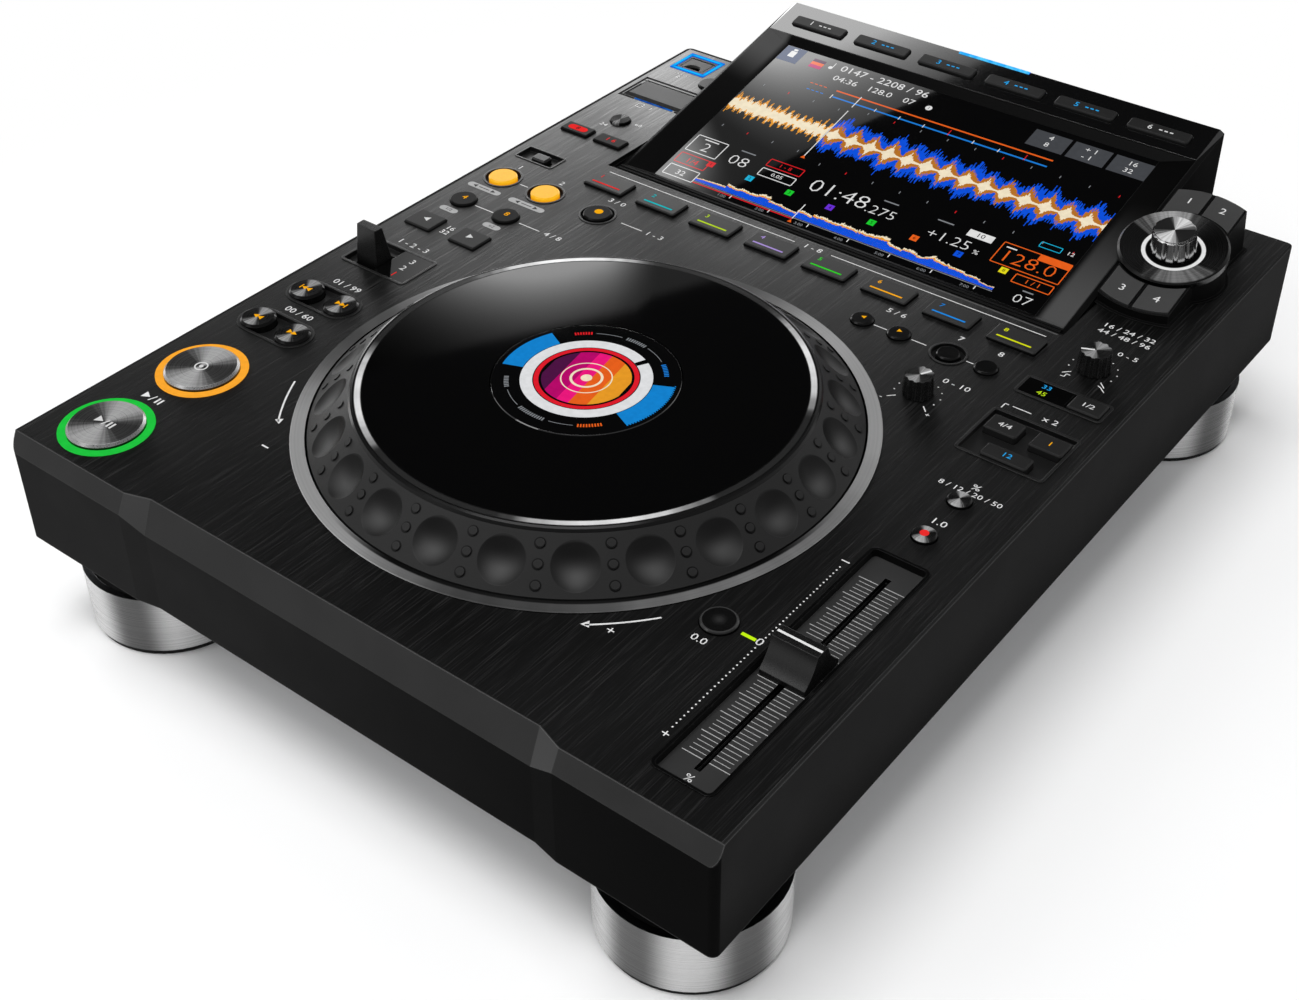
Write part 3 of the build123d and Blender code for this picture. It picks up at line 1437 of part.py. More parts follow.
def build_cover(center, size, hinge_y):
    """A flush cover with a rounded rear edge and two hinge pins."""
    front_y = center[1] - size[1] / 2
    with BuildSketch(panel.offset(-door_thickness)) as plate:
        with Locations((center[0], front_y)):
            Rectangle(size[0], hinge_y - front_y, align=(Align.CENTER, Align.MIN))
    extrude(plate.sketch, amount=door_thickness)
    with BuildSketch(across(center[0] - size[0] / 2)) as knuckle:
        with Locations((hinge_y, -pin_level)):
            Circle(pin_level)
    extrude(knuckle.sketch, amount=size[0])
    half_span = size[0] / 2 + door_gap + door_pin_reach
    with BuildSketch(across(center[0] - half_span)) as pin:
        with Locations((hinge_y, -pin_level)):
            Circle(door_pin_radius - 0.1)
    extrude(pin.sketch, amount=2 * half_span)


with BuildPart() as media_bays:
    build_bay(sd_center, sd_size, sd_hinge_y)
    build_bay(usb_bay_center, usb_bay_size, usb_hinge_y)
    # card guide: a slotted block on the floor of the card bay
    with BuildSketch(panel.offset(-bay_depth + bay_wall)):
        with Locations((sd_center[0], sd_center[1] - 3)):
            Rectangle(card_size[0] + 3.6, card_size[1] + 4.4)
            Rectangle(*card_size, mode=Mode.SUBTRACT)
    extrude(amount=card_guide_height)
    # stick socket: a shell with a tongue on the floor of the other bay
    with BuildSketch(panel.offset(-bay_depth + bay_wall)):
        with Locations(usb_bay_center):
            Rectangle(stick_size[0] + 0.8, stick_size[1] + 0.8)
            Rectangle(*stick_size, mode=Mode.SUBTRACT)
        with Locations((usb_bay_center[0], usb_bay_center[1] + 1.2)):
            Rectangle(stick_size[0] - 1.3, 1.8)
    extrude(amount=stick_socket_height)
write(media_bays, "media_bays")

with BuildPart() as sd_door:
    build_cover(sd_center, sd_door_size, sd_hinge_y)
write(sd_door, "sd_door")

with BuildPart() as usb_cover:
    build_cover(usb_bay_center, usb_cover_size, usb_hinge_y)
    with BuildSketch(panel.offset(1)):
        with Locations((usb_bay_center[0], usb_bay_center[1] - usb_cover_size[1] / 2)):
            Circle(thumb_notch)
    extrude(amount=-4, mode=Mode.SUBTRACT)
write(usb_cover, "usb_cover")

# ---- boards and power supply ---------------------------------------------------------------
switch_places = [play_key_place, cue_key_place, *search_places, *track_places]
switch_places += [*beat_loop_places, *beat_jump_places, loop_in_place, loop_out_place, reloop_place]
switch_places += [*edit_places, time_key_place, *pad_places, *call_places, delete_place]
switch_places += [range_place, master_tempo_place, tempo_reset_place]
switch_places += [mode_key_center, beat_sync_center, master_center, key_sync_center]
pot_places = [jog_knob_place, speed_knob_place]
board_level = board_top + board_thickness
stop_board_size = (16.0, 20.0)
rear_lobe_size = (39.0, 57.0)
slide_switch_size = (12.0, 8.0)

with BuildPart() as key_boards:
    with BuildSketch(panel.offset(-board_level)):
        with Locations((0, middle(board_y))):
            Rectangle(2 * board_half_width, length(board_y))
        with Locations((-board_half_width, board_y[1] - 1)):
            Rectangle(rear_lobe_size[0], rear_lobe_size[1], align=(Align.MIN, Align.MIN))
        with Locations((0, jog_y)):
            Circle(dial_base_radius + jog_clearance, mode=Mode.SUBTRACT)
        with Locations((usb_stop_place[0] + 0.6, usb_stop_place[1])):
            Rectangle(stop_board_size[0], stop_board_size[1], mode=Mode.ADD)
    extrude(amount=board_thickness)
    with BuildSketch(panel.offset(-board_top)):
        with Locations(*switch_places, usb_stop_place):
            Rectangle(switch_side, switch_side)
    extrude(amount=switch_height)
    with BuildSketch(panel.offset(-board_top)):
        with Locations(call_lever_center):
            Rectangle(*slide_switch_size)
    extrude(amount=board_top - call_lever_bottom - running_gap)
    with BuildSketch(panel.offset(-board_top)):
        round_spots(pot_places, pot_radius)
    extrude(amount=pot_height)
    with BuildSketch(panel.offset(-board_top)):
        round_spots(pot_places, knob_shaft_radius + bearing_fit)
    extrude(amount=pot_height, mode=Mode.SUBTRACT)
    # board of the six keys behind the screen
    with BuildSketch(screen.offset(-board_top)):
        with Locations((0, strip_key_v)):
            Rectangle(5 * strip_key_pitch + 24, 10)
    extrude(amount=-board_thickness)
    with BuildSketch(screen.offset(-board_top)):
        with Locations(*strip_places):
            Rectangle(switch_side, switch_side)
    extrude(amount=switch_height)
    # board inside the selector pod, with the encoder under the knob's shaft
    with BuildSketch(screen.offset(pod_board_top)):
        pod_face(-pod_wall - running_gap)
    extrude(amount=-board_thickness)
    with BuildSketch(screen.offset(pod_board_top)):
        with Locations(*pod_key_places):
            Rectangle(switch_side, switch_side)
    extrude(amount=switch_height - key_travel)
    with BuildSketch(screen.offset(pod_board_top)):
        with Locations(pod_axis_place):
            Circle(bush_radius)
    extrude(amount=bush_bottom - running_gap - pod_board_top)
write(key_boards, "key_boards")

board_floor = panel.offset(-skirt_height + sheet + standoff_height)
chip_height = 3.0
capacitor_radius = 5.0
capacitor_height = 14.0

with BuildPart() as main_board:
    with BuildSketch(board_floor):
        with Locations(main_board_center):
            Rectangle(*main_board_size)
    extrude(amount=board_thickness)
    with BuildSketch(board_floor.offset(board_thickness)):
        with Locations((main_board_center[0], main_board_center[1] + 20)):
            Rectangle(32, 32)
        with Locations((main_board_center[0] + 55, main_board_center[1] - 20)):
            Rectangle(22, 18)
        with Locations((main_board_center[0] - 55, main_board_center[1] - 30)):
            Rectangle(26, 14)
    extrude(amount=chip_height)
    with BuildSketch(board_floor.offset(board_thickness)):
        with Locations((main_board_center[0] + 40, main_board_center[1] + 60)):
            with GridLocations(16, 1, 4, 1):
                Circle(capacitor_radius)
    extrude(amount=capacitor_height)
write(main_board, "main_board")

vent_pitch = 9.0
vent_length = 60.0
vent_width = 4.0

with BuildPart() as power_supply:
    with BuildSketch(panel.offset(-skirt_height + sheet)):
        with Locations(supply_center):
            Rectangle(supply_size[0], supply_size[1])
    extrude(amount=supply_size[2])
    with BuildSketch(panel.offset(-skirt_height + 2 * sheet)):
        with Locations(supply_center):
            Rectangle(supply_size[0] - 2 * sheet, supply_size[1] - 2 * sheet)
    extrude(amount=supply_size[2] - 2 * sheet, mode=Mode.SUBTRACT)
    with BuildSketch(panel.offset(-skirt_height + sheet + supply_size[2])):
        with Locations(supply_center):
            with GridLocations(vent_pitch, 1, 8, 1):
                SlotOverall(vent_length, vent_width, rotation=90)
    extrude(amount=-sheet, mode=Mode.SUBTRACT)
write(power_supply, "power_supply")

# ---- sockets and power key on the rear upright ----------------------------------------------
with BuildPart() as rear_sockets:
    with BuildSketch(rear_face):
        with Locations(at_rear(inlet_x)):
            Rectangle(*inlet_flange)
    extrude(amount=2.6)
    with BuildSketch(rear_face):
        with Locations(at_rear(inlet_x)):
            Rectangle(*inlet_body)
    extrude(amount=-inlet_depth)
    with BuildSketch(rear_face.offset(2.6)):
        with Locations(at_rear(inlet_x)):
            Rectangle(*inlet_mouth)
    extrude(amount=-inlet_depth, mode=Mode.SUBTRACT)
    with BuildSketch(rear_face.offset(2.6 - inlet_depth)):
        for pin_x, pin_z in ((-7.0, -2.0), (0.0, 2.0), (7.0, -2.0)):
            with Locations((-inlet_x + pin_x, socket_level + pin_z)):
                Rectangle(2.0, 4.0)
    extrude(amount=inlet_depth - 6.5)
    with BuildSketch(rear_face.offset(1.0)):
        with Locations(at_rear(lan_x)):
            Rectangle(*lan_body)
            Rectangle(11.8, 8.4, mode=Mode.SUBTRACT)
        with Locations(at_rear(usb_b_x)):
            Rectangle(*usb_b_body)
            Rectangle(8.6, 7.9, mode=Mode.SUBTRACT)
    extrude(amount=-14)
    with BuildSketch(rear_face.offset(-13)):
        with Locations(at_rear(lan_x)):
            Rectangle(*lan_body)
        with Locations(at_rear(usb_b_x)):
            Rectangle(*usb_b_body)
    extrude(amount=-1.5)
    with BuildSketch(rear_face):
        with Locations(*[at_rear(x) for x in jack_x]):
            Circle(jack_flange_radius)
    extrude(amount=1.0)
    with BuildSketch(rear_face.offset(-8)):
        with Locations(*[at_rear(x) for x in jack_x]):
            Circle(jack_radius)
            Circle(1.6, mode=Mode.SUBTRACT)
    extrude(amount=18)
    # power switch: a skirt round the key's flange with a body behind it
    with BuildSketch(rear_face.offset(-sheet - seat_gap)):
        with Locations(at_rear(power_key_x)):
            Circle(power_key_radius + 3.2)
            Circle(power_key_radius + key_flange + running_gap, mode=Mode.SUBTRACT)
    extrude(amount=-5.0)
    with BuildSketch(rear_face.offset(-sheet - 5.0)):
        with Locations(at_rear(power_key_x)):
            Rectangle(17, 17)
            Circle(power_plunger_radius + running_gap, mode=Mode.SUBTRACT)
    extrude(amount=-9.0)
write(rear_sockets, "rear_sockets")

with BuildPart() as power_key:
    with BuildSketch(rear_face.offset(-sheet - 0.4)):
        with Locations(at_rear(power_key_x)):
            Circle(power_key_radius)
    extrude(amount=sheet + 0.4 + power_key_reach)
    chamfer(faces(Select.LAST).group_by(Axis(rear_face.origin, rear_face.z_dir))[-1].edges(), 0.6)
    with BuildSketch(rear_face.offset(-sheet - 0.4)):
        with Locations(at_rear(power_key_x)):
            Circle(power_key_radius + key_flange)
    extrude(amount=-1.2)
    with BuildSketch(rear_face.offset(-sheet - 1.6)):
        with Locations(at_rear(power_key_x)):
            Circle(power_plunger_radius)
    extrude(amount=-6.0)
write(power_key, "power_key")
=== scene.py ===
import math
import random

import bmesh
import bpy
from mathutils import Matrix, Vector


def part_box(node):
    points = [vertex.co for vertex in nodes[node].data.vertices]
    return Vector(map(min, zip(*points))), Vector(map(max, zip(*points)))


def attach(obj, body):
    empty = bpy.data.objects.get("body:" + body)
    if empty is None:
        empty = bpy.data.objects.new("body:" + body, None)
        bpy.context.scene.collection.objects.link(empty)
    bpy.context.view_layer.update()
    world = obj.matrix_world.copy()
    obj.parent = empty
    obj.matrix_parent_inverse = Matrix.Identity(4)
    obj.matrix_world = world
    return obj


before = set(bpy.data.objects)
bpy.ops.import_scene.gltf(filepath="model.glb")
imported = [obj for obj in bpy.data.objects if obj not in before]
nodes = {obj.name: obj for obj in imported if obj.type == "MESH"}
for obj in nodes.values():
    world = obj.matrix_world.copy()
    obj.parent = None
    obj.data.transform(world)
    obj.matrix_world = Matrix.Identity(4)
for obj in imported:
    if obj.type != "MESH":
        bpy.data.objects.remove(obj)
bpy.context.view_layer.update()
mm = 0.001
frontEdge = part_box("case_shell")[0].y
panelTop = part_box("top_panel")[1].z
print("frame loaded:", len(nodes), "nodes")

# places in mm: x across, y back from the front edge, v up the tilted screen
screen = {"y": 308.9, "z": -1.9, "tilt": 12.85, "litLevel": -2.3, "stripFront": 114.5, "stripTop": 1.41,
          "podTop": 3.21}


def onPanel(x, y, z=0.0):
    return Vector((x * mm, frontEdge + y * mm, panelTop + z * mm))


def onScreen(x, v, off=0.0):
    tilt = math.radians(screen["tilt"])
    back = v * math.cos(tilt) - off * math.sin(tilt)
    up = v * math.sin(tilt) + off * math.cos(tilt)
    return onPanel(x, screen["y"], screen["z"]) + Vector((0, back, up)) * mm


def topOf(nodeName):
    return (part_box(nodeName)[1].z - panelTop) / mm


def toLinear(level):
    value = level / 255
    return value / 12.92 if value <= 0.04045 else ((value + 0.055) / 1.055) ** 2.4


def colour(levels):
    # one level for a grey, or red, green and blue, up to 255
    levels = levels if isinstance(levels, tuple) else (levels,) * 3
    return (*map(toLinear, levels), 1.0)


def scaled(shade, factor):
    return (shade[0] * factor, shade[1] * factor, shade[2] * factor, 1.0)


def isSocket(value):
    return isinstance(value, bpy.types.NodeSocket)


def link(node, key, value):
    if isSocket(value):
        node.id_data.links.new(value, node.inputs[key])
    else:
        node.inputs[key].default_value = value


def feed(shader, **values):
    for key, value in values.items():
        link(shader, key.replace("_", " "), value)


def put(owner, kind, inputs=None, **settings):
    # a new node beside its owner, which is any node or socket of the tree
    node = owner.id_data.nodes.new("ShaderNode" + kind)
    for key, value in settings.items():
        setattr(node, key, value)
    for key, value in (inputs or {}).items():
        link(node, key, value)
    return node


def mapped(value, low, high, toLow=0.0, toHigh=1.0):
    inputs = {"Value": value, "From Min": low, "From Max": high, "To Min": toLow, "To Max": toHigh}
    return put(value, "MapRange", inputs, interpolation_type="SMOOTHSTEP").outputs["Result"]


def swing(noise, toLow=0.0, toHigh=1.0):
    # most of a noise lies between 0.3 and 0.7
    return mapped(noise, 0.3, 0.7, toLow, toHigh)


def mixed(factor, first, second):
    return put(factor, "Mix", {0: factor, 6: first, 7: second}, data_type="RGBA").outputs[2]


def calc(operation, first, second=0.0, third=0.0):
    owner = first if isSocket(first) else second
    return put(owner, "Math", {0: first, 1: second, 2: third}, operation=operation).outputs[0]


def plus(first, second):
    return calc("ADD", first, second)


def minus(first, second):
    return calc("SUBTRACT", first, second)


def times(first, second):
    return calc("MULTIPLY", first, second)


def over(first, second):
    return calc("DIVIDE", first, second)


def cosine(angle):
    return calc("COSINE", angle)


def wrapped(value, half):
    return calc("WRAP", value, half, -half)


def vectorMath(operation, first, second=(0, 0, 0), output=0):
    return put(first, "VectorMath", {0: first, 1: second}, operation=operation).outputs[output]


def lengthOf(vector):
    return vectorMath("LENGTH", vector, output="Value")


def axesOf(vector):
    return put(vector, "SeparateXYZ", {0: vector}).outputs


def vectorOf(owner, x=0.0, y=0.0, z=0.0):
    return put(owner, "CombineXYZ", {"X": x, "Y": y, "Z": z}).outputs[0]


def reachOf(x, y):
    return lengthOf(vectorOf(x, x, y))


def angleOf(vector):
    x, y = axesOf(vector)[:2]
    return calc("ARCTAN2", y, x)


def rotated(vector, angle):
    return put(vector, "VectorRotate", {"Vector": vector, "Angle": angle}, rotation_type="X_AXIS").outputs[0]


def noiseOf(vector, scale, detail=2.0):
    return put(vector, "TexNoise", {"Vector": vector, "Scale": scale, "Detail": detail}).outputs["Fac"]


def coordsOf(owner):
    return put(owner, "TexCoord").outputs["Object"]


def offsetFrom(owner, centre):
    return vectorMath("SUBTRACT", coordsOf(owner), centre)


def stretched(owner, scale=(1, 1, 1), centre=(0, 0, 0)):
    return vectorMath("MULTIPLY", offsetFrom(owner, centre), scale)


def flatAround(owner, centre, tilt):
    return vectorMath("MULTIPLY", rotated(offsetFrom(owner, centre), -tilt), (1, 1, 0))


def roundedNormal(owner, radius):
    return put(owner, "Bevel", {"Radius": radius}, samples=4).outputs["Normal"]


def edgeMask(owner, radius):
    # 0 on flat stretches, 1 along sharp outer edges
    flat = put(owner, "NewGeometry").outputs["Normal"]
    return mapped(vectorMath("DOT_PRODUCT", roundedNormal(owner, radius), flat, "Value"), 0.995, 0.86)


def bumped(shader, height, depth, rounding=0.0):
    inputs = {"Height": height, "Strength": 1.0, "Distance": depth}
    if rounding:
        inputs["Normal"] = roundedNormal(shader, rounding)
    feed(shader, Normal=put(shader, "Bump", inputs).outputs["Normal"])


def show(shader, surface):
    # what the material shows in place of its own shader
    link(shader.id_data.nodes["Material Output"], "Surface", surface)


finishes = {}


def newFinish(name, **sockets):
    finish = bpy.data.materials.new(name)
    finish.use_nodes = True
    finishes[name] = finish
    shader = finish.node_tree.nodes["Principled BSDF"]
    feed(shader, **sockets)
    return shader


def mouldedFinish(name, shade, roughness=0.45, grain=2600.0, depth=0.00002, specular=0.35, wear=2.2,
                  rounding=0.0004, fade=None, coat=0.0):
    shade = colour(shade)
    shader = newFinish(name, Specular_IOR_Level=specular, Coat_Weight=coat, Coat_Roughness=roughness)
    coords = stretched(shader)
    cloud = noiseOf(coords, 45.0, 4.0)
    fine = noiseOf(coords, grain)
    base = mixed(mapped(cloud, 0.35, 0.65), scaled(shade, 0.94), scaled(shade, 1.06))
    if fade:
        # painted shade: darker towards one end of an axis, where less light falls
        axis, low, high, factor = fade
        base = mixed(mapped(axesOf(coords)[axis], low, high), scaled(shade, factor), base)
    # painted highlight: lighter along sharp edges, by the factor wear
    base = mixed(edgeMask(shader, rounding), base, scaled(shade, wear))
    feed(shader, Base_Color=base, Roughness=swing(fine, roughness - 0.04, roughness + 0.05))
    bumped(shader, fine, depth, rounding)


brushed = {"shade": 22, "streak": 84, "scale": (3300, 48, 3300), "roughness": 0.32, "metallic": 0.75}


def brushedFinish(name):
    # fine lines along the axis whose scale is smallest
    streak, scale, roughness = colour(brushed["streak"]), brushed["scale"], brushed["roughness"]
    shader = newFinish(name, Metallic=brushed["metallic"], Specular_IOR_Level=0.3, Anisotropic=0.6)
    fine = noiseOf(stretched(shader, scale), 1.0, 3.0)
    wide = noiseOf(stretched(shader, [value * 0.13 for value in scale]), 1.0)
    lines = times(mapped(fine, 0.45, 0.78), swing(wide, 0.35, 1.0))
    base = mixed(lines, colour(brushed["shade"]), streak)
    base = mixed(swing(noiseOf(stretched(shader), 9.0), 0.0, 0.12), base, streak)
    rough = swing(fine, roughness + 0.06, roughness - 0.06)
    feed(shader, Base_Color=base, Roughness=rough, Tangent=vectorOf(shader, 1.0))
    bumped(shader, fine, 0.000006)


def spunFinish(name, centre, shade, light, roughness=0.28, bow=2.0, peak=96.0, lines=2400.0, metallic=0.25,
               tilt=0.0, ripple=0.35, edges=None, narrow=-0.3, specular=0.15, lean=0.0, shadow=None):
    # turned metal: rings round the centre, with painted highlights fanning out from it in the base colour
    shade = colour(shade)
    shader = newFinish(name, Metallic=metallic, Anisotropic=0.75, Specular_IOR_Level=specular)
    flat = flatAround(shader, centre, tilt)
    radius = lengthOf(flat)
    angle = angleOf(flat)
    paintedFan = cosine(plus(times(angle, bow), -bow * math.radians(peak)))
    spokes = vectorOf(angle, times(angle, 3.0))
    paintedFan = plus(paintedFan, swing(noiseOf(spokes, 2.2, 3.0), -ripple, ripple))
    if lean:
        # slower waves round the ring, so that its painted highlights differ
        for order, turn, share in ((2, 45, 1.0), (3, 16, 0.75)):
            wave = cosine(minus(times(angle, order), order * math.radians(turn)))
            paintedFan = plus(paintedFan, times(wave, share * lean))
    base = mixed(mapped(paintedFan, narrow, 1.3), shade, colour(light))
    if shadow:
        # inner part of the near side in the shade of the dial
        near = mapped(cosine(minus(angle, math.radians(308))), 0.5, 0.8)
        inner = mapped(radius, shadow * mm, (shadow + 0.8) * mm, 1.0, 0.0)
        base = mixed(times(near, inner), base, colour(8))
    if edges:
        # dark lines along the inner and the outer rim
        inner = mapped(radius, edges[0] * mm, edges[0] * mm + 0.0005)
        outer = mapped(radius, edges[1] * mm - 0.0005, edges[1] * mm, 1.0, 0.0)
        base = mixed(times(inner, outer), colour(14), base)
    groove = noiseOf(vectorOf(radius, times(radius, lines)), 1.0)
    base = mixed(mapped(groove, 0.4, 0.8, 0.0, 0.18), base, scaled(shade, 0.5))
    rough = swing(groove, roughness - 0.04, roughness + 0.06)
    feed(shader, Base_Color=base, Roughness=rough, Tangent=rotated(vectorMath("NORMALIZE", flat), tilt))
    bumped(shader, groove, 0.0000008)


def glossFinish(name, shade, roughness=0.08, specular=0.5, coat=0.0, rounding=0.0003):
    shade = colour(shade)
    shader = newFinish(name, Specular_IOR_Level=specular, Coat_Weight=coat, Coat_Roughness=0.04)
    cloud = noiseOf(stretched(shader), 120.0, 3.0)
    base = mixed(cloud, scaled(shade, 0.85), scaled(shade, 1.15))
    # painted highlight along sharp edges
    base = mixed(edgeMask(shader, rounding), base, scaled(shade, 2.0))
    feed(shader, Base_Color=base, Roughness=swing(cloud, roughness, roughness + 0.03))
    bumped(shader, cloud, 0.000002, rounding)


def metalFinish(name, shade, roughness=0.3, grain=1800.0):
    shade = colour(shade)
    shader = newFinish(name, Metallic=1.0)
    coords = stretched(shader)
    fine = noiseOf(coords, grain)
    base = mixed(swing(noiseOf(coords, 60.0, 4.0)), scaled(shade, 0.85), scaled(shade, 1.08))
    feed(shader, Base_Color=base, Roughness=swing(fine, roughness - 0.04, roughness + 0.05))
    bumped(shader, fine, 0.000004, 0.0003)


def litFinish(name, shade, strength=1.0, core=None, coat=0.0):
    # a lit diffuser, or with coat a lit mark behind glass
    shade, core = colour(shade), colour(core or shade)
    shader = newFinish(name, Roughness=0.35, Specular_IOR_Level=0.0, Coat_Weight=coat,
                       Coat_Roughness=0.03, Emission_Strength=strength)
    cloud = noiseOf(stretched(shader), 400.0)
    glow = mixed(swing(cloud), scaled(shade, 0.92), core)
    feed(shader, Emission_Color=glow, Base_Color=mixed(cloud, scaled(shade, 0.05), scaled(shade, 0.1)))


def domeFinish(name, low, high, level, reach):
    # lit dome, paler towards its crown
    low, high = colour(low), colour(high)
    shader = newFinish(name, Roughness=0.3, Specular_IOR_Level=0.15)
    coords = coordsOf(shader)
    fine = noiseOf(coords, 900.0)
    share = plus(mapped(axesOf(coords)["Z"], level - reach, level), swing(fine, -0.04, 0.04))
    feed(shader, Emission_Color=mixed(share, low, high), Emission_Strength=swing(fine, 0.88, 0.92),
         Base_Color=mixed(fine, scaled(low, 0.05), scaled(high, 0.08)))


def paintFinish(name, shade, specular=0.1):
    # screen printed ink, a little uneven
    shade = colour(shade)
    shader = newFinish(name, Specular_IOR_Level=specular)
    cloud = noiseOf(stretched(shader), 700.0, 3.0)
    base = mixed(swing(cloud), scaled(shade, 0.86), shade)
    feed(shader, Base_Color=base, Roughness=swing(cloud, 0.44, 0.56))
    bumped(shader, cloud, 0.000004)


jogPlace = (0, 141.7)
jogCentre = onPanel(*jogPlace)
platter = {"shade": 3, "pitch": 0.74, "depth": 0.0000004}


def grooveFinish(name):
    # black disc with fine concentric grooves
    shade = colour(platter["shade"])
    shader = newFinish(name, Specular_IOR_Level=0.9)
    flat = stretched(shader, (1, 1, 0), jogCentre)
    wave = calc("SINE", times(lengthOf(flat), 2 * math.pi / (platter["pitch"] * mm)))
    base = mixed(mapped(wave, -1, 1), scaled(shade, 0.5), scaled(shade, 1.7))
    feed(shader, Base_Color=base, Roughness=swing(noiseOf(flat, 30.0), 0.05, 0.058))
    bumped(shader, wave, platter["depth"])


def targetFinish(name, centre, stops):
    # turned dish whose shade follows the distance from its middle, as (mm, shade) pairs: a painted dome with
    # a painted highlight in its middle, black round it, and a painted highlight on its rim
    shader = newFinish(name, Specular_IOR_Level=0.3, Roughness=0.2)
    flat = stretched(shader, (1, 1, 0), centre)
    reach = stops[-1][0]
    ramp = put(shader, "ValToRGB", {"Fac": over(lengthOf(flat), reach * mm)})
    places = ramp.color_ramp.elements
    places[0].position, places[0].color = 0.0, colour(stops[0][1])
    places[1].position, places[1].color = 1.0, colour(stops[-1][1])
    for place, level in stops[1:-1]:
        places.new(place / reach).color = colour(level)
    fine = noiseOf(flat, 2600.0)
    feed(shader, Base_Color=mixed(swing(fine, 0.0, 0.08), ramp.outputs["Color"], colour(60)))
    bumped(shader, fine, 0.0000008)


dial = {"shade": 33, "middle": 96.9, "spacing": 5.4, "radius": 1.6, "pitch": 15.0, "phase": 14.7,
        "slope": 41.7, "band": (83.0, 88.7), "bandLevel": 15.65, "faceLevel": 14.0}


def dialFinish(name):
    # rubbered cone with painted shade in a thin ring round each stud
    shade = colour(dial["shade"])
    shader = newFinish(name, Specular_IOR_Level=0.12)
    flat = stretched(shader, (1, 1, 0), jogCentre)
    radius = lengthOf(flat)
    angle = minus(angleOf(flat), math.radians(dial["phase"]))
    half = math.radians(dial["pitch"] / 2)
    rim = dial["radius"] * mm
    slope = math.cos(math.radians(dial["slope"]))
    out = minus(radius, dial["middle"] * mm)
    away = reachOf(times(wrapped(angle, half), radius), over(wrapped(out, dial["spacing"] * mm / 2), slope))
    # painted shade in a thin ring round each stud
    studRingShade = times(mapped(away, rim - 0.0001, rim + 0.0001),
                 mapped(away, rim + 0.0004, rim + 0.0006, 1.0, 0.0))
    coords = stretched(shader)
    fine = noiseOf(coords, 3200.0)
    base = mixed(noiseOf(coords, 60.0, 3.0), scaled(shade, 0.9), scaled(shade, 1.1))
    # painted highlight along sharp edges
    base = mixed(edgeMask(shader, 0.0006), base, scaled(shade, 1.6))
    base = mixed(studRingShade, base, colour(3))
    # each dimple: painted shade over it, deepest under its inner edge, and a soft painted light below its
    # middle
    side = times(wrapped(plus(angle, half), half), radius)
    climb = over(out, slope)
    inside = mapped(reachOf(side, climb), 0.0088, 0.0082)
    dimpleLight = mapped(reachOf(side, minus(climb, 0.001)), 0.0085, 0.0)
    base = mixed(inside, base, scaled(shade, 0.62))
    base = mixed(times(dimpleLight, inside), base, colour(62))
    base = mixed(times(inside, mapped(climb, 0.0015, -0.0075)), base, colour(6))
    feed(shader, Base_Color=base, Roughness=swing(fine, 0.4, 0.5))
    bumped(shader, fine, 0.00002)


stickBay = {"at": (-148.3, 410.4), "inner": (8.4, 7.1), "frame": 2.4, "lidReach": 12}


def stickFrameFinish(name):
    # square light frame: cyan along its middle, deep blue at both sides
    shader = newFinish(name, Roughness=0.3, Specular_IOR_Level=0.0, Emission_Strength=1.0)
    coords = coordsOf(shader)
    offset = vectorMath("SUBTRACT", coords, onPanel(*stickBay["at"]))
    x, y = axesOf(vectorMath("ABSOLUTE", offset))[:2]
    wide, high = stickBay["inner"]
    share = over(calc("MAXIMUM", minus(x, wide * mm), minus(y, high * mm)), stickBay["frame"] * mm)
    deep = colour((0, 85, 220))
    glow = mixed(mapped(share, 0.05, 0.4), deep, colour((25, 190, 250)))
    glow = mixed(mapped(share, 0.7, 0.95), glow, colour((0, 110, 230)))
    corner = times(mapped(x, 0.0065, 0.0095), mapped(y, 0.0055, 0.0085))
    feed(shader, Emission_Color=mixed(times(corner, 0.5), glow, deep),
         Base_Color=mixed(noiseOf(coords, 500.0), colour((0, 10, 40)), colour((0, 20, 60))))


def ringLightFinish(name, centre, tilt, inner):
    # lit ring, dark at the foot of its knob
    shader = newFinish(name, Specular_IOR_Level=0.0, Roughness=0.3)
    flat = flatAround(shader, centre, tilt)
    fine = noiseOf(flat, 700.0)
    lit = times(mapped(lengthOf(flat), inner * mm, inner * mm + 0.0005), swing(fine, 0.92, 0.98))
    feed(shader, Emission_Strength=lit, Emission_Color=mixed(fine, colour(225), colour(235)),
         Base_Color=mixed(fine, colour(6), colour(10)))


def frameFinish(name):
    # black frame of the screen with a soft painted sheen at its upper left and lower right, and painted
    # highlights along its edges
    shader = newFinish(name, Specular_IOR_Level=0.02, Roughness=0.3)
    offset = stretched(shader, centre=onScreen(0, 0))
    x, y = axesOf(offset)[:2]
    left = times(mapped(x, -0.1, -0.104), mapped(y, 0.075, 0.105))
    right = times(mapped(x, 0.1, 0.104), mapped(y, 0.085, 0.005))
    fine = noiseOf(offset, 1500.0)
    base = mixed(plus(left, right), mixed(fine, colour(4), colour(7)), colour(70))
    feed(shader, Base_Color=mixed(edgeMask(shader, 0.0003), base, colour(26)))
    bumped(shader, fine, 0.000001, 0.0003)


def boardFinish(name):
    shader = newFinish(name, Specular_IOR_Level=0.5, Roughness=0.4)
    coords = stretched(shader)
    tracks = put(shader, "TexBrick", {"Vector": coords, "Scale": 120.0, "Mortar Size": 0.03,
                                      "Color1": colour((10, 70, 38)), "Color2": colour((12, 82, 44)),
                                      "Mortar": colour((60, 120, 60))}).outputs["Color"]
    spots = put(shader, "TexVoronoi", {"Vector": coords, "Scale": 180.0}).outputs["Distance"]
    feed(shader, Base_Color=mixed(mapped(spots, 0.12, 0.08), tracks, colour((190, 160, 90))))
    bumped(shader, spots, 0.00002)


feet = {"places": ((-129.5, 36.0), (129.5, 36.0), (-129.5, 389.0), (129.5, 389.0)),
        "facing": (-33, -54, -71, -54)}


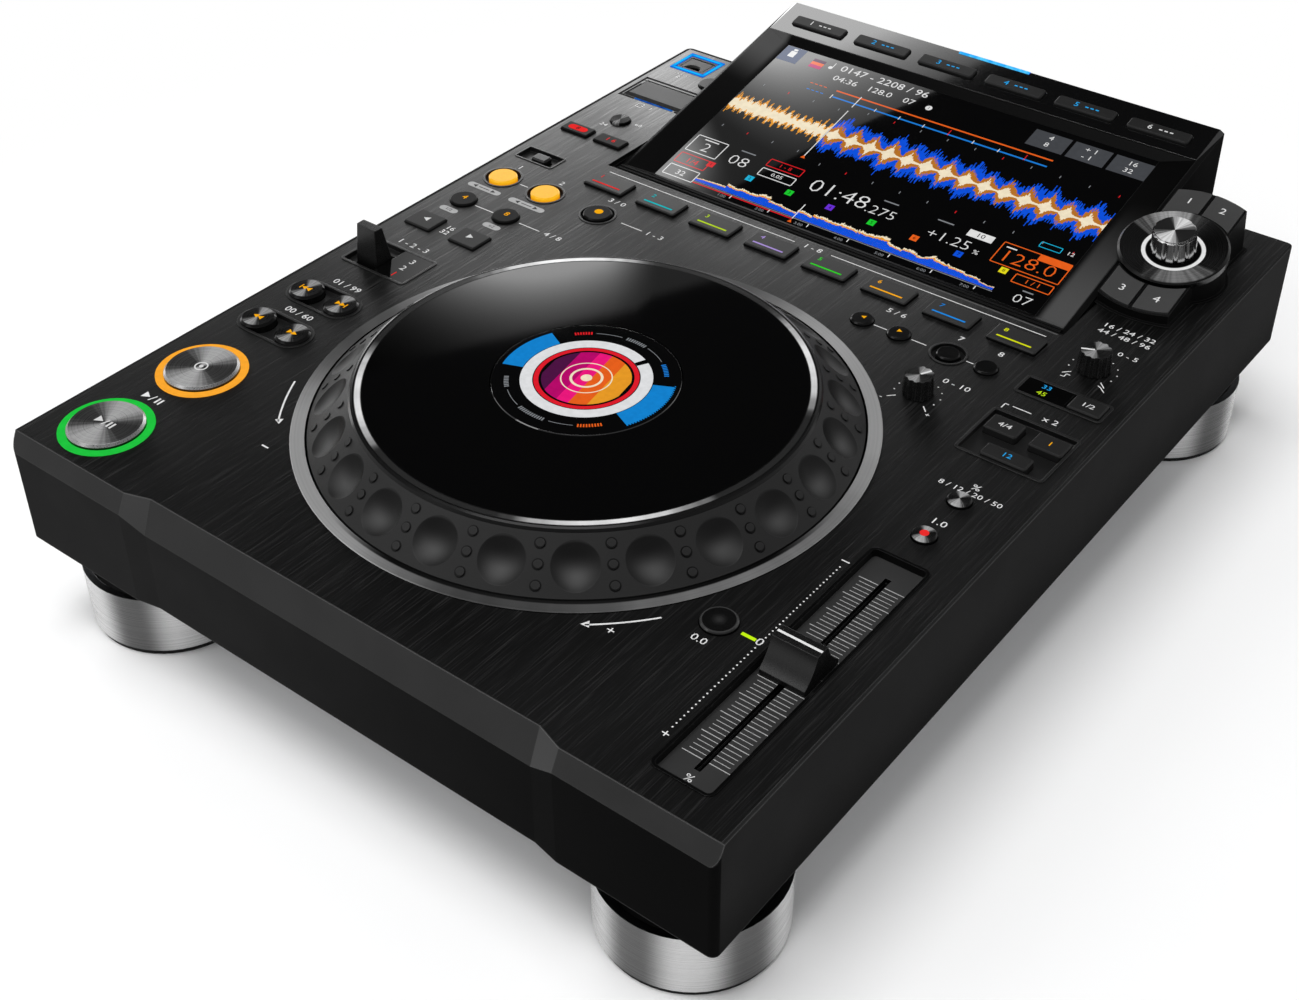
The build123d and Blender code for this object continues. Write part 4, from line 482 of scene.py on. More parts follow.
def footFinish(name, centre, facing):
    # turned cup: fine level lines, with soft upright bands of painted reflection, light and dark, round it
    shader = newFinish(name, Metallic=0.4, Specular_IOR_Level=0.2, Anisotropic=0.5)
    offset = stretched(shader, centre=centre)
    bands = cosine(times(minus(angleOf(offset), math.radians(facing)), 5.3))
    lines = noiseOf(vectorOf(shader, z=axesOf(offset)["Z"]), 3800.0)
    base = mixed(mapped(bands, -1.0, 1.0), colour(84), colour(205))
    base = mixed(mapped(lines, 0.35, 0.75, 0.0, 0.2), base, colour(90))
    feed(shader, Base_Color=base, Roughness=swing(lines, 0.24, 0.32), Tangent=vectorOf(shader, z=1.0))
    bumped(shader, lines, 0.000004)


mouldedLooks = {
    "case": (31, 0.5, {"specular": 0.004, "wear": 5.0, "rounding": 0.0008, "fade": ("Z", 0.03, 0.068, 0.4)}),
    "caseFront": (33, 0.5, {"specular": 0.004, "wear": 5.0, "rounding": 0.0008,
                            "fade": ("X", 0.16, -0.12, 0.2)}),
    "bevel": (38, 0.4, {"specular": 0.08, "wear": 6.0, "rounding": 0.0007}),
    "facet": (52, 0.4, {"specular": 0.08, "wear": 4.0, "rounding": 0.0007}),
    "caseLow": (12, 0.5, {"specular": 0.01, "wear": 4.0}),
    "hump": (15, 0.45, {"grain": 1800, "specular": 0.01, "wear": 5.0}),
    "humpTop": (6, 0.09, {"grain": 1800, "depth": 0.0000005, "specular": 1.0, "wear": 4.0, "coat": 0.5}),
    "humpSide": (22, 0.5, {"grain": 1800, "specular": 0.0, "wear": 3.0}),
    "humpDark": (5, 0.5, {"grain": 1800, "specular": 0.0, "wear": 5.0}),
    "rearPlate": (36, 0.5, {"grain": 900, "specular": 0.1, "wear": 3.0}),
    "rubber": (16, 0.8, {"grain": 1400, "depth": 0.00006, "specular": 0.2, "wear": 1.4}),
    "lever": (12, 0.3, {"specular": 0.3, "wear": 6.0}),
    "knob": (12, 0.25, {"specular": 0.3, "wear": 8.0}),
    "keyRubber": (27, 0.4, {"specular": 0.1, "wear": 3.0}),
    "padRubber": (22, 0.45, {"specular": 0.22, "wear": 4.0}),
    "keyGrey": (52, 0.5, {"specular": 0.2, "wear": 2.0}),
    "bezelSatin": (17, 0.34, {"specular": 0.3, "wear": 5.0}),
    "trayFloor": (46, 0.4, {"grain": 1600, "depth": 0.000004, "specular": 0.2, "wear": 1.2}),
    "cover": (74, 0.4, {"grain": 1400, "depth": 0.000001, "specular": 0.04, "wear": 1.4}),
    "loopRubber": (16, 0.35, {"specular": 0.03, "wear": 2.0}),
    "socket": (20, 0.4, {}),
}
for lookName, (shade, roughness, options) in mouldedLooks.items():
    mouldedFinish(lookName, shade, roughness, **options)
glossFinish("keyDome", 10, 0.16, 0.15)
glossFinish("smoothDome", 14, 0.12, 0.06)
glossFinish("gloss", 9, 0.1, 0.4)
glossFinish("window", 5, 0.06, 0.15)
glossFinish("trayWall", 5, 0.2, 0.2)
glossFinish("glass", 3, 0.03, coat=1.0, rounding=0.0001)
metalFinish("steel", (150, 152, 155), 0.42, 500)
metalFinish("screw", 70, 0.35)
metalFinish("chrome", 185, 0.16)
metalFinish("softChrome", 150, 0.3)
metalFinish("darkChrome", 70, 0.2)
metalFinish("fader", 120, 0.35)
domeFinish("amberKey", (225, 125, 0), (255, 190, 30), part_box("loop_in_key")[1].z, 0.0035)
litFinish("greenRing", (32, 190, 62))
litFinish("amberRing", (246, 165, 48))
litFinish("limeLight", (190, 235, 20))
litFinish("skyLight", (6, 55, 150), core=(14, 100, 190))
litFinish("barLight", (18, 50, 225), core=(30, 90, 250))
litFinish("barCore", (40, 170, 250), core=(90, 205, 255))
brushedFinish("panel")
frameFinish("bezelFrame")
boardFinish("board")
grooveFinish("platterGrooves")
dialFinish("dialRubber")
stickFrameFinish("stickFrame")
print("finishes:", len(finishes))

keyPlaces = {
    "play_key": [(-138.6, 25.7)],
    "cue_key": [(-138.6, 72.3)],
    "search_keys": [(-148.7, 110.9), (-128.5, 110.9)],
    "track_search_keys": [(-148.7, 137.8), (-128.5, 137.8)],
    "tempo_keys": [(138.6, 181.7), (138.6, 157.4), (107.7, 78.9)],
    "beat_jump_keys": [(-149.4, 210.2), (-123.1, 210.2)],
    "rear_left_keys": [(-151.1, 318.0), (-131.0, 318.0), (-141.0, 338.0), (-129.5, 395.9)],
    "call_keys": [(47.4, 260.4), (64.9, 260.4)],
}
knobs = {
    "jog_adjust_knob": {"at": (92.3, 229.8), "scale": 9.3, "ends": 3.0, "signs": "-+", "turn": 62,
                        "line": 5.4},
    "speed_knob": {"at": (138.8, 285.4), "scale": 9.6, "ends": 3.2, "signs": "", "turn": 205, "line": 5.9},
}
selector = {"at": (132.8, 59.4), "top": 12.9, "light": 11.2}
sdDoor = {"x": -139.15, "front": 362.3, "wide": 39.0}
labelWindows = ((-138.5, -121.0, 166.0, 186.2), (121.4, 141.2, 254.9, 266.1))  # left, right, near, far
windowTop = 0.22
# shade is each part's base colour, light the colour of its painted highlights
turned = {
    "play_key": {"shade": 44, "light": 172, "narrow": -0.8, "ripple": 0.2},
    "cue_key": {"shade": 44, "light": 172, "peak": 100.0, "narrow": -0.8, "ripple": 0.2},
    "search_keys": {"shade": 7, "light": 150, "metallic": 0.1, "narrow": 0.0, "specular": 0.05},
    "track_search_keys": {"shade": 7, "light": 150, "metallic": 0.1, "narrow": 0.0, "specular": 0.05},
    "tempoKey": {"shade": 12, "light": 165, "metallic": 0.1},
    "timeKey": {"shade": 4, "light": 130, "metallic": 0.05, "narrow": 0.5, "specular": 0.02},
    "ring": {"shade": 56, "light": 166, "roughness": 0.34, "bow": 4.0, "peak": 55.0, "lines": 900.0,
             "metallic": 0.4, "ripple": 0.15, "narrow": -1.9, "lean": 1.0, "shadow": 107.2},
    "band": {"shade": 38, "light": 245, "roughness": 0.2, "bow": 4.0, "peak": 45.0, "lines": 900.0,
             "metallic": 0.2, "ripple": 0.2, "edges": (83.7, 86.4)},
    "dish": {"shade": 10, "light": 120, "roughness": 0.25, "peak": 125.0, "lines": 1500.0,
             "edges": (12.0, 22.6), "narrow": 0.0},
    "crown": {"shade": 34, "light": 230, "roughness": 0.2, "peak": 80.0, "lines": 2200.0},
    "knobCap": {"shade": 12, "light": 150, "roughness": 0.3, "peak": 80.0, "metallic": 0.15},
}


def dress(nodeName, names, choose=None):
    mesh = nodes[nodeName].data
    for index, name in enumerate(names):
        if index < len(mesh.materials):
            mesh.materials[index] = finishes[name]
        else:
            mesh.materials.append(finishes[name])
    for polygon in mesh.polygons:
        polygon.material_index = choose(polygon) if choose else 0


def distance(polygon, place):
    return math.hypot(polygon.center.x - place.x, polygon.center.y - place.y) / mm


def nearest(polygon, places):
    spans = [distance(polygon, onPanel(*place)) for place in places]
    return spans.index(min(spans))


def flatPlace(polygon):
    return polygon.center.x / mm, (polygon.center.y - frontEdge) / mm


def unlessUp(least):
    # 0 for what faces up, 1 for the rest
    return lambda polygon: 0 if polygon.normal.z > least else 1


def shellZone(polygon):
    # painted shade and light: faces turned down get a shaded copy of the case plastic, sideways faces of the
    # front bevel a lit copy
    if polygon.normal.z < -0.1:
        return 2
    if polygon.normal.y < -0.2:
        if polygon.normal.z > 0.15:
            return 4 if abs(polygon.normal.x) > 0.12 else 1
        return 3
    return 0


def humpZone(polygon):
    # painted light and shade: the right side of the hump gets a lit copy of its plastic, the left side a
    # shaded copy
    if abs(polygon.normal.x) > 0.7:
        return 2 if polygon.normal.x > 0 else 3
    return 1 if polygon.normal.z > 0.7 and polygon.center.y > onScreen(0, screen["stripFront"]).y else 0


def bayZone(polygon):
    # the rim of the stick bay has the colour of its cover
    onTop = polygon.normal.z > 0.9 and polygon.center.z > panelTop - 0.1 * mm
    return 1 if onTop and distance(polygon, onPanel(*stickBay["at"])) < stickBay["lidReach"] else 0


def dialZone(polygon):
    radius = distance(polygon, jogCentre)
    height = (polygon.center.z - panelTop) / mm
    inner, outer = dial["band"]
    if height > dial["bandLevel"] and inner < radius < outer:
        return 1
    return 2 if height > dial["faceLevel"] and radius < outer else 0


def bezelZone(polygon):
    # the two label windows are gloss glass, the rest satin
    x, y = flatPlace(polygon)
    if polygon.normal.z < 0.9 or polygon.center.z < panelTop + 0.1 * mm:
        return 0
    return int(any(left < x < right and near < y < far for left, right, near, far in labelWindows))


def pipeZone(polygon):
    x, y = flatPlace(polygon)
    if y > 430:
        return 6 if abs(x) < 8 else 5
    if x > 0:
        return 2 if y < 200 else 4
    if y < 49:
        return 0
    if y < 200:
        return 1
    return 3 if y < 380 else 7


def dressSpun(nodeName, edge):
    # each key is turned about its own middle, with a polished chamfer round its face
    places = keyPlaces[nodeName]
    names = [f"{nodeName}{index}" for index in range(len(places))]
    for name, place in zip(names, places):
        spunFinish(name, onPanel(*place), **turned[nodeName])

    def choose(polygon):
        if polygon.normal.z > 0.95:
            return nearest(polygon, places)
        return len(places) + (0 if polygon.normal.z > 0.2 else 1)

    dress(nodeName, names + [edge, "gloss"], choose)


plainPieces = {
    "panel": "top_panel", "screw": "case_screws", "rubber": "foot_cores", "socket": "jog_bearing",
    "steel": "jog_post power_supply", "glass": "jog_display touch_screen", "cover": "sd_door usb_cover",
    "lever": "direction_lever call_lever slider_cap power_key", "fader": "tempo_fader",
    "keyRubber": "beat_jump_keys jog_mode_key sync_keys master_key strip_keys", "keyDome": "call_keys",
    "loopRubber": "beat_loop_keys", "smoothDome": "reloop_key", "hump": "selector_pod",
    "keyGrey": "pod_keys", "board": "key_boards main_board", "platterGrooves": "jog_platter",
    "bezelFrame": "screen_bezel",
}


def dressCase():
    for name, nodeNames in plainPieces.items():
        for nodeName in nodeNames.split():
            dress(nodeName, [name])
    dress("case_shell", ["case", "bevel", "caseLow", "caseFront", "facet"], shellZone)
    dress("hump_case", ["hump", "humpTop", "humpSide", "humpDark"], humpZone)
    dress("media_bays", ["socket", "cover"], bayZone)
    dress("chassis_plate", ["steel", "rearPlate"], lambda p: int(p.normal.y > 0.7 and p.center.z > 0.03))
    dress("rear_sockets", ["socket", "fader"], lambda p: int(abs(p.center.x + 0.044) < 0.025))
    dress("key_bezels", ["bezelSatin", "window"], bezelZone)
    wallFrom = panelTop - 2.0 * mm
    dress("slider_tray", ["trayFloor", "trayWall"],
          lambda p: 0 if p.normal.z > 0.9 and p.center.z < wallFrom else 1)
    for index, (place, facing) in enumerate(zip(feet["places"], feet["facing"])):
        footFinish(f"foot{index}", onPanel(*place), facing)
    dress("foot_shells", ["foot0", "foot1", "foot2", "foot3", "darkChrome"],
          lambda p: 4 if p.normal.z > 0.9 else nearest(p, feet["places"]))


def dressKeys():
    amberFrom = panelTop - 2.6 * mm
    for nodeName in ("loop_in_key", "loop_out_key"):
        dress(nodeName, ["amberKey", "gloss"], lambda p: 0 if p.center.z > amberFrom else 1)
    for index in range(8):
        dress(f"hot_cue_pad_{index + 1}", ["padRubber", "gloss"], unlessUp(0.5))
    dressSpun("play_key", "softChrome")
    dressSpun("cue_key", "softChrome")
    dressSpun("search_keys", "smoothDome")
    dressSpun("track_search_keys", "smoothDome")
    places = keyPlaces["tempo_keys"]
    for index in (0, 1):
        spunFinish(f"tempo{index}", onPanel(*places[index]), **turned["tempoKey"])
    targetFinish("resetDish", onPanel(*places[2]),
                 ((0.0, 44), (1.8, 24), (2.9, 8), (5.6, 5), (6.0, 60), (6.5, 24)))
    dress("tempo_keys", ["tempo0", "tempo1", "resetDish", "keyDome"],
          lambda p: nearest(p, places) if p.normal.z > 0.2 else 3)
    rearPlaces = keyPlaces["rear_left_keys"]
    spunFinish("timeKey", onPanel(*rearPlaces[2]), **turned["timeKey"])
    dress("rear_left_keys", ["loopRubber", "timeKey", "smoothDome"],
          lambda p: (0, 0, 1, 2)[nearest(p, rearPlaces)])


def dressKnobs():
    for name in ("ring", "band"):
        spunFinish(name, jogCentre, **turned[name])
    dress("jog_ring", ["ring", "darkChrome"], unlessUp(0.5))
    dress("jog_dial", ["dialRubber", "band", "gloss"], dialZone)
    centre = onScreen(*selector["at"])
    tilt = math.radians(screen["tilt"])
    for name in ("dish", "crown"):
        spunFinish(name, centre, tilt=tilt, **turned[name])
    dress("selector_ring", ["dish", "darkChrome"], unlessUp(0.5))
    crownFrom = onScreen(*selector["at"], selector["top"]).z - 2.0 * mm
    dress("selector_knob", ["crown", "chrome"],
          lambda p: 0 if p.center.z > crownFrom and p.normal.z > 0.7 else 1)
    for nodeName, knob in knobs.items():
        spunFinish(nodeName, onPanel(*knob["at"]), **turned["knobCap"])
        dress(nodeName, [nodeName, "knob"], unlessUp(0.9))
    ringLightFinish("selectorLight", centre, tilt, selector["light"])
    dress("light_pipes", ["greenRing", "amberRing", "limeLight", "skyLight", "selectorLight", "barLight",
                          "barCore", "stickFrame"], pipeZone)


dressCase()
dressKeys()
dressKnobs()
print("pieces dressed")

inks = {"white": 222, "grey2": 175, "tag": 165, "dark": 22, "lip": 84}
litInks = {
    "amber": (250, 175, 20), "litRed": (235, 45, 45), "litCyan": (40, 165, 235),
    "litLime": (190, 225, 30), "litViolet": (175, 150, 220), "litGreen": (50, 210, 40),
    "litTeal": (0, 190, 200), "litYellow": (215, 222, 20),
}
glassInks = {
    "white": (232, 232, 232), "grey": (70, 72, 76), "midGrey": (135, 138, 142), "cream": (250, 236, 205),
    "amber": (240, 160, 40), "orange": (240, 100, 30), "brown": (190, 118, 38), "blue": (14, 84, 228),
    "sky": (30, 130, 225), "cyan": (30, 185, 225), "red": (225, 32, 40), "green": (30, 210, 50),
    "violet": (110, 50, 220), "yellow": (235, 225, 30), "black": (3, 3, 4), "tile": (38, 62, 104),
    "pink": (245, 25, 130), "magenta": (190, 10, 110), "plum": (80, 20, 70), "ringRed": (230, 30, 45),
    "ringWhite": (232, 233, 235), "arcBlue": (20, 135, 215),
}
for inkName, level in inks.items():
    paintFinish(inkName, level)
paintFinish("slot", 4, 0.01)
for inkName, levels in litInks.items():
    litFinish(inkName, levels, 0.9)
litFinish("litWhite", 225, 0.85)
litFinish("litBlue", (30, 140, 230), 0.85)
for inkName, levels in glassInks.items():
    litFinish("glass" + inkName, levels, 0.9, coat=1.0)

gap = 0.01  # marks stand this far off their face, in mm


def newObject(name, data):
    thing = bpy.data.objects.new(name, data)
    bpy.context.scene.collection.objects.link(thing)
    return thing


def newSheet(level=gap, thick=0.04, place=onPanel, family=""):
    # marks are thin closed prisms laid on a face, one object for each face that carries them
    return {"place": place, "level": level, "thick": thick, "family": family,
            "verts": [], "faces": [], "inks": []}


def sheetOn(nodeName):
    return newSheet(topOf(nodeName) + gap)


def spun(point, x, y, turn):
    angle = math.radians(turn)
    return (x + point[0] * math.cos(angle) - point[1] * math.sin(angle),
            y + point[0] * math.sin(angle) + point[1] * math.cos(angle))


def addPrism(sheet, points, ink, level=0):
    # a closed prism under a flat outline given anticlockwise
    place, thick = sheet["place"], sheet["thick"]
    start, count = len(sheet["verts"]), len(points)
    for lift in (level * thick, (level + 1) * thick):
        sheet["verts"] += [place(x, y, sheet["level"] + lift) for x, y in points]
    faces = [tuple(reversed(range(start, start + count))), tuple(range(start + count, start + 2 * count))]
    for index in range(count):
        after = (index + 1) % count
        faces.append((start + index, start + after, start + count + after, start + count + index))
    sheet["faces"] += faces
    sheet["inks"] += [sheet["family"] + ink] * len(faces)


def addBox(sheet, x, y, wide, high, ink, level=0, turn=0.0):
    corners = ((-wide / 2, -high / 2), (wide / 2, -high / 2), (wide / 2, high / 2), (-wide / 2, high / 2))
    addPrism(sheet, [spun(corner, x, y, turn) for corner in corners], ink, level)


def addBoxes(sheet, ink, level, *rows):
    for x, y, wide, high in rows:
        addBox(sheet, x, y, wide, high, ink, level)


def addLine(sheet, first, second, wide, ink, level=0):
    length = math.dist(first, second)
    turn = math.degrees(math.atan2(second[1] - first[1], second[0] - first[0]))
    addBox(sheet, (first[0] + second[0]) / 2, (first[1] + second[1]) / 2, length, wide, ink, level, turn)


def addLines(sheet, wide, rows):
    for x, y, endX, endY in rows:
        addLine(sheet, (x, y), (endX, endY), wide, "white")


def addFrame(sheet, left, low, right, high, wide, ink):
    addLine(sheet, (left, low), (right, low), wide, ink)
    addLine(sheet, (left, high), (right, high), wide, ink)
    addLine(sheet, (left, low + wide / 2), (left, high - wide / 2), wide, ink)
    addLine(sheet, (right, low + wide / 2), (right, high - wide / 2), wide, ink)


def addDisc(sheet, x, y, radius, ink, level=0, sides=24):
    points = [spun((radius, 0), x, y, 360 * step / sides) for step in range(sides)]
    addPrism(sheet, points, ink, level)


def addArc(sheet, x, y, inner, outer, start, end, ink, level, steps):
    # part of a ring, in short closed spans
    for step in range(steps):
        low = start + (end - start) * step / steps
        high = start + (end - start) * (step + 1) / steps
        points = [spun((inner, 0), x, y, low), spun((outer, 0), x, y, low),
                  spun((outer, 0), x, y, high), spun((inner, 0), x, y, high)]
        addPrism(sheet, points, ink, level)


def addTriangle(sheet, x, y, size, turn, ink, level=0):
    points = ((-size * 0.5, -size * 0.55), (size * 0.5, 0), (-size * 0.5, size * 0.55))
    addPrism(sheet, [spun(point, x, y, turn) for point in points], ink, level)


def addTag(sheet, x, y, wide, high, ink):
    # a label with round ends
    radius = high / 2
    points = []
    for side, first in ((1, -90), (-1, 90)):
        for step in range(7):
            points.append(spun((radius, 0), x + side * (wide / 2 - radius), y, first + 30 * step))
    addPrism(sheet, points, ink)


def addText(sheet, words, x, y, size, ink, level=0, align="CENTER", thin=0.0):
    widen = 1.15
    curve = bpy.data.curves.new("figure", "FONT")
    curve.body = words
    curve.size = size
    curve.offset = -thin * size
    curve.align_x = align
    curve.align_y = "CENTER"
    curve.extrude = sheet["thick"] / 2
    curve.resolution_u = 2
    figure = bpy.data.objects.new("figure", curve)  # never in the scene, only to make the mesh
    mesh = bpy.data.meshes.new_from_object(figure)
    start = len(sheet["verts"])
    for vertex in mesh.vertices:
        lift = level * sheet["thick"] + vertex.co.z + sheet["thick"] / 2
        place = (x + vertex.co.x * widen, y + vertex.co.y, sheet["level"] + lift)
        sheet["verts"].append(sheet["place"](*place))
    for polygon in mesh.polygons:
        sheet["faces"].append(tuple(start + index for index in polygon.vertices))
        sheet["inks"].append(sheet["family"] + ink)
    bpy.data.objects.remove(figure)
    bpy.data.curves.remove(curve)
    bpy.data.meshes.remove(mesh)


def addTexts(sheet, ink, *rows, **options):
    for words, x, y, size in rows:
        addText(sheet, words, x, y, size, ink, **options)


def laySheet(sheet, name, body):
    mesh = bpy.data.meshes.new(name)
    mesh.from_pydata(sheet["verts"], [], sheet["faces"])
    used = sorted(set(sheet["inks"]))
    for ink in used:
        mesh.materials.append(finishes[ink])
    for polygon, ink in zip(mesh.polygons, sheet["inks"]):
        polygon.material_index = used.index(ink)
    shape = bmesh.new()
    shape.from_mesh(mesh)
    bmesh.ops.remove_doubles(shape, verts=shape.verts, dist=0.000001)
    bmesh.ops.recalc_face_normals(shape, faces=shape.faces)
    shape.to_mesh(mesh)
    shape.free()
    piece = newObject(name, mesh)
    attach(piece, body)


printing = {
    "captions": (
        ("1 - 2 - 3", -138.9, 191.4, 3.6), ("01 / 99", -138.3, 150.8, 3.6), ("00 / 60", -138.7, 123.8, 3.6),
        ("16", -136.3, 212.2, 3.2), ("32", -136.3, 208.2, 3.2), ("4 / 8", -96.0, 234.0, 3.4),
        ("1", -148.5, 272.9, 3.4), ("2", -123.3, 272.9, 3.4), ("3 / 0", -92.3, 274.6, 3.4),
        ("1 - 3", -61.0, 261.6, 3.4), ("1 - 8", 0.0, 295.0, 3.4), ("5 / 6", 56.0, 273.2, 3.4),
        ("7", 86.6, 272.6, 3.4), ("8", 104.9, 272.6, 3.4), ("0 - 10", 101.5, 243.4, 3.4),
        ("1.0", 138.9, 166.9, 3.6), ("0.0", 107.3, 68.2, 3.4), ("%", 139.6, 192.0, 3.6),
        ("8 / 12 / 20 / 50", 139.4, 187.9, 2.9), ("x 2", 141.7, 244.4, 3.4), ("0 - 5", 145.8, 301.4, 3.2),
        ("16 / 24 / 32", 138.6, 317.6, 3.3), ("44 / 48 / 96", 138.6, 312.6, 3.3), ("24", -145.4, 330.4, 2.8),
        ("60", -131.2, 339.5, 2.6), ("0", 123.8, 79.0, 3.8), ("2", -148.5, 393.8, 2.8),
        ("1", -137.2, 356.6, 2.8), ("+", 81.9, 53.8, 4.0), ("+", 124.2, 28.2, 3.8),
    ),
    "lines": (
        (-141.3, 233.9, -130.6, 233.9), (-115.3, 234.0, -103.6, 234.0), (-138.2, 260.8, -133.4, 260.8),
        (-79.5, 261.6, -67.9, 261.6), (53.2, 260.2, 59.4, 260.2), (71.0, 260.2, 77.9, 260.2),
        (96.2, 260.2, 99.4, 260.2), (-113.0, 295.0, -9.5, 295.0), (9.5, 295.0, 113.0, 295.0),
        (125.6, 244.4, 133.6, 244.4), (122.4, 241.2, 122.4, 244.4), (122.4, 244.4, 124.0, 244.4),
    ),
    # a step and a slope beside the speed knob
    "curves": (
        (130.2, 274.2, 131.8, 274.2), (131.8, 274.2, 131.8, 276.4), (131.8, 276.4, 133.4, 276.4),
        (145.2, 276.6, 146.8, 275.8), (146.8, 275.8, 149.2, 273.6),
    ),
    "tags": ((-148.6, 224.2, 10.0), (-123.2, 224.5, 9.6), (-148.6, 247.9, 19.0), (-123.4, 248.1, 20.5)),
    # dark frame round the card door
    "doorFrame": ((-138.6, 383.5, 43.0, 1.5), (-160.0, 372.3, 1.3, 24.0), (-155.3, 361.2, 8.6, 1.3),
                  (-121.9, 361.2, 8.0, 1.3)),
    "captionScale": 1.3,
}


def layKnobScale(sheet, knob):
    place, radius, reach = knob["at"], knob["scale"], knob["ends"]
    for index in range(11):
        angle = 225 - 27 * index
        if index in (0, 10):
            far = spun((radius + reach, 0), *place, angle)
            addLine(sheet, spun((radius - 0.6, 0), *place, angle), far, 0.45, "white")
            if knob["signs"]:
                word = knob["signs"][index // 10]
                addText(sheet, word, *spun((radius + reach + 2.2, 0), *place, angle), 3.4, "white")
        else:
            addDisc(sheet, *spun((radius, 0), *place, angle), 0.34, "white", 0, 10)


def layPanelPrint():
    sheet = newSheet()
    for words, x, y, size in printing["captions"]:
        addText(sheet, words, x, y, size * printing["captionScale"], "white")
    addLines(sheet, 0.45, printing["lines"])
    for x, y, wide in printing["tags"]:
        addTag(sheet, x, y, wide, 3.6, "tag")
    addTexts(sheet, "dark", ("1/2", -148.6, 224.2, 2.6), ("x2", -123.2, 224.5, 2.6), level=1)
    for x, y, wide in printing["tags"][2:]:
        for side in (-1, 1):
            addTriangle(sheet, x + side * 5.4, y, 2.2, 90 - side * 90, "dark", 1)
        addBox(sheet, x, y, 6.0, 0.5, "dark", 1)
    addBox(sheet, -82.2, 53.6, 3.4, 0.7, "white")
    # painted highlight along the edge of the panel in front of the hump
    addLine(sheet, (-116.0, 299.1), (116.0, 299.1), 0.7, "lip")
    # play mark between the two lit rings
    addTriangle(sheet, -142.6, 48.4, 3.4, 0, "white")
    addBox(sheet, -139.4, 48.4, 0.5, 4.0, "white", 0, -20)
    addBoxes(sheet, "white", 0, (-136.6, 48.4, 0.9, 3.4), (-134.8, 48.4, 0.9, 3.4))
    # turning arrows beside the dial
    for start, end, tip in ((206.6, 219.6, 221.6), (-38.5, -51.0, -53.0)):
        addArc(sheet, *jogPlace, 116.4, 117.1, start, end, "white", 0, 10)
        side = 1 if tip > 0 else -1
        addTriangle(sheet, *spun((116.4, 0), *jogPlace, tip - 2.0 * side), 3.0, tip + 92 * side, "white")
    for knob in knobs.values():
        layKnobScale(sheet, knob)
    addLines(sheet, 0.4, printing["curves"])
    for index in range(48):
        y = 32.0 + 2.0 * index
        if abs(y - slider["at"][1]) > 2.4:
            addDisc(sheet, 124.2, y, 0.34, "white", 0, 8)
    addBox(sheet, 124.2, 129.6, 3.2, 0.5, "white")
    addBoxes(sheet, "slot", 0, *printing["doorFrame"])
    # marks of the two bays and of the stick stop key
    for index in range(5):
        addDisc(sheet, -152.4 + 1.8 * index, 396.9, 0.3, "white", 0, 8)
    addFrame(sheet, -145.4, 354.9, -142.2, 358.7, 0.35, "white")
    addTriangle(sheet, -121.6, 396.4, 2.2, 90, "white")
    addBox(sheet, -121.6, 394.4, 2.4, 0.5, "white")
    laySheet(sheet, "panel_printing", "body")


padInks = ("litRed", "litTeal", "litLime", "litViolet", "litGreen", "amber", "litBlue", "litYellow")


def layMarks(name, nodeName, slotName, *marks):
    # each mark: what draws it, and what that takes
    sheet = sheetOn(nodeName)
    for draw, *values in marks:
        draw(sheet, *values)
    laySheet(sheet, name, nodeName)


def layArrows(name, nodeName, up, size, ink):
    (x, y), (nextX, nextY) = keyPlaces[nodeName]
    layMarks(name, nodeName, "key_black", (addTriangle, x, y + up, size, 180, ink),
             (addTriangle, nextX, nextY + up, size, 0, ink))


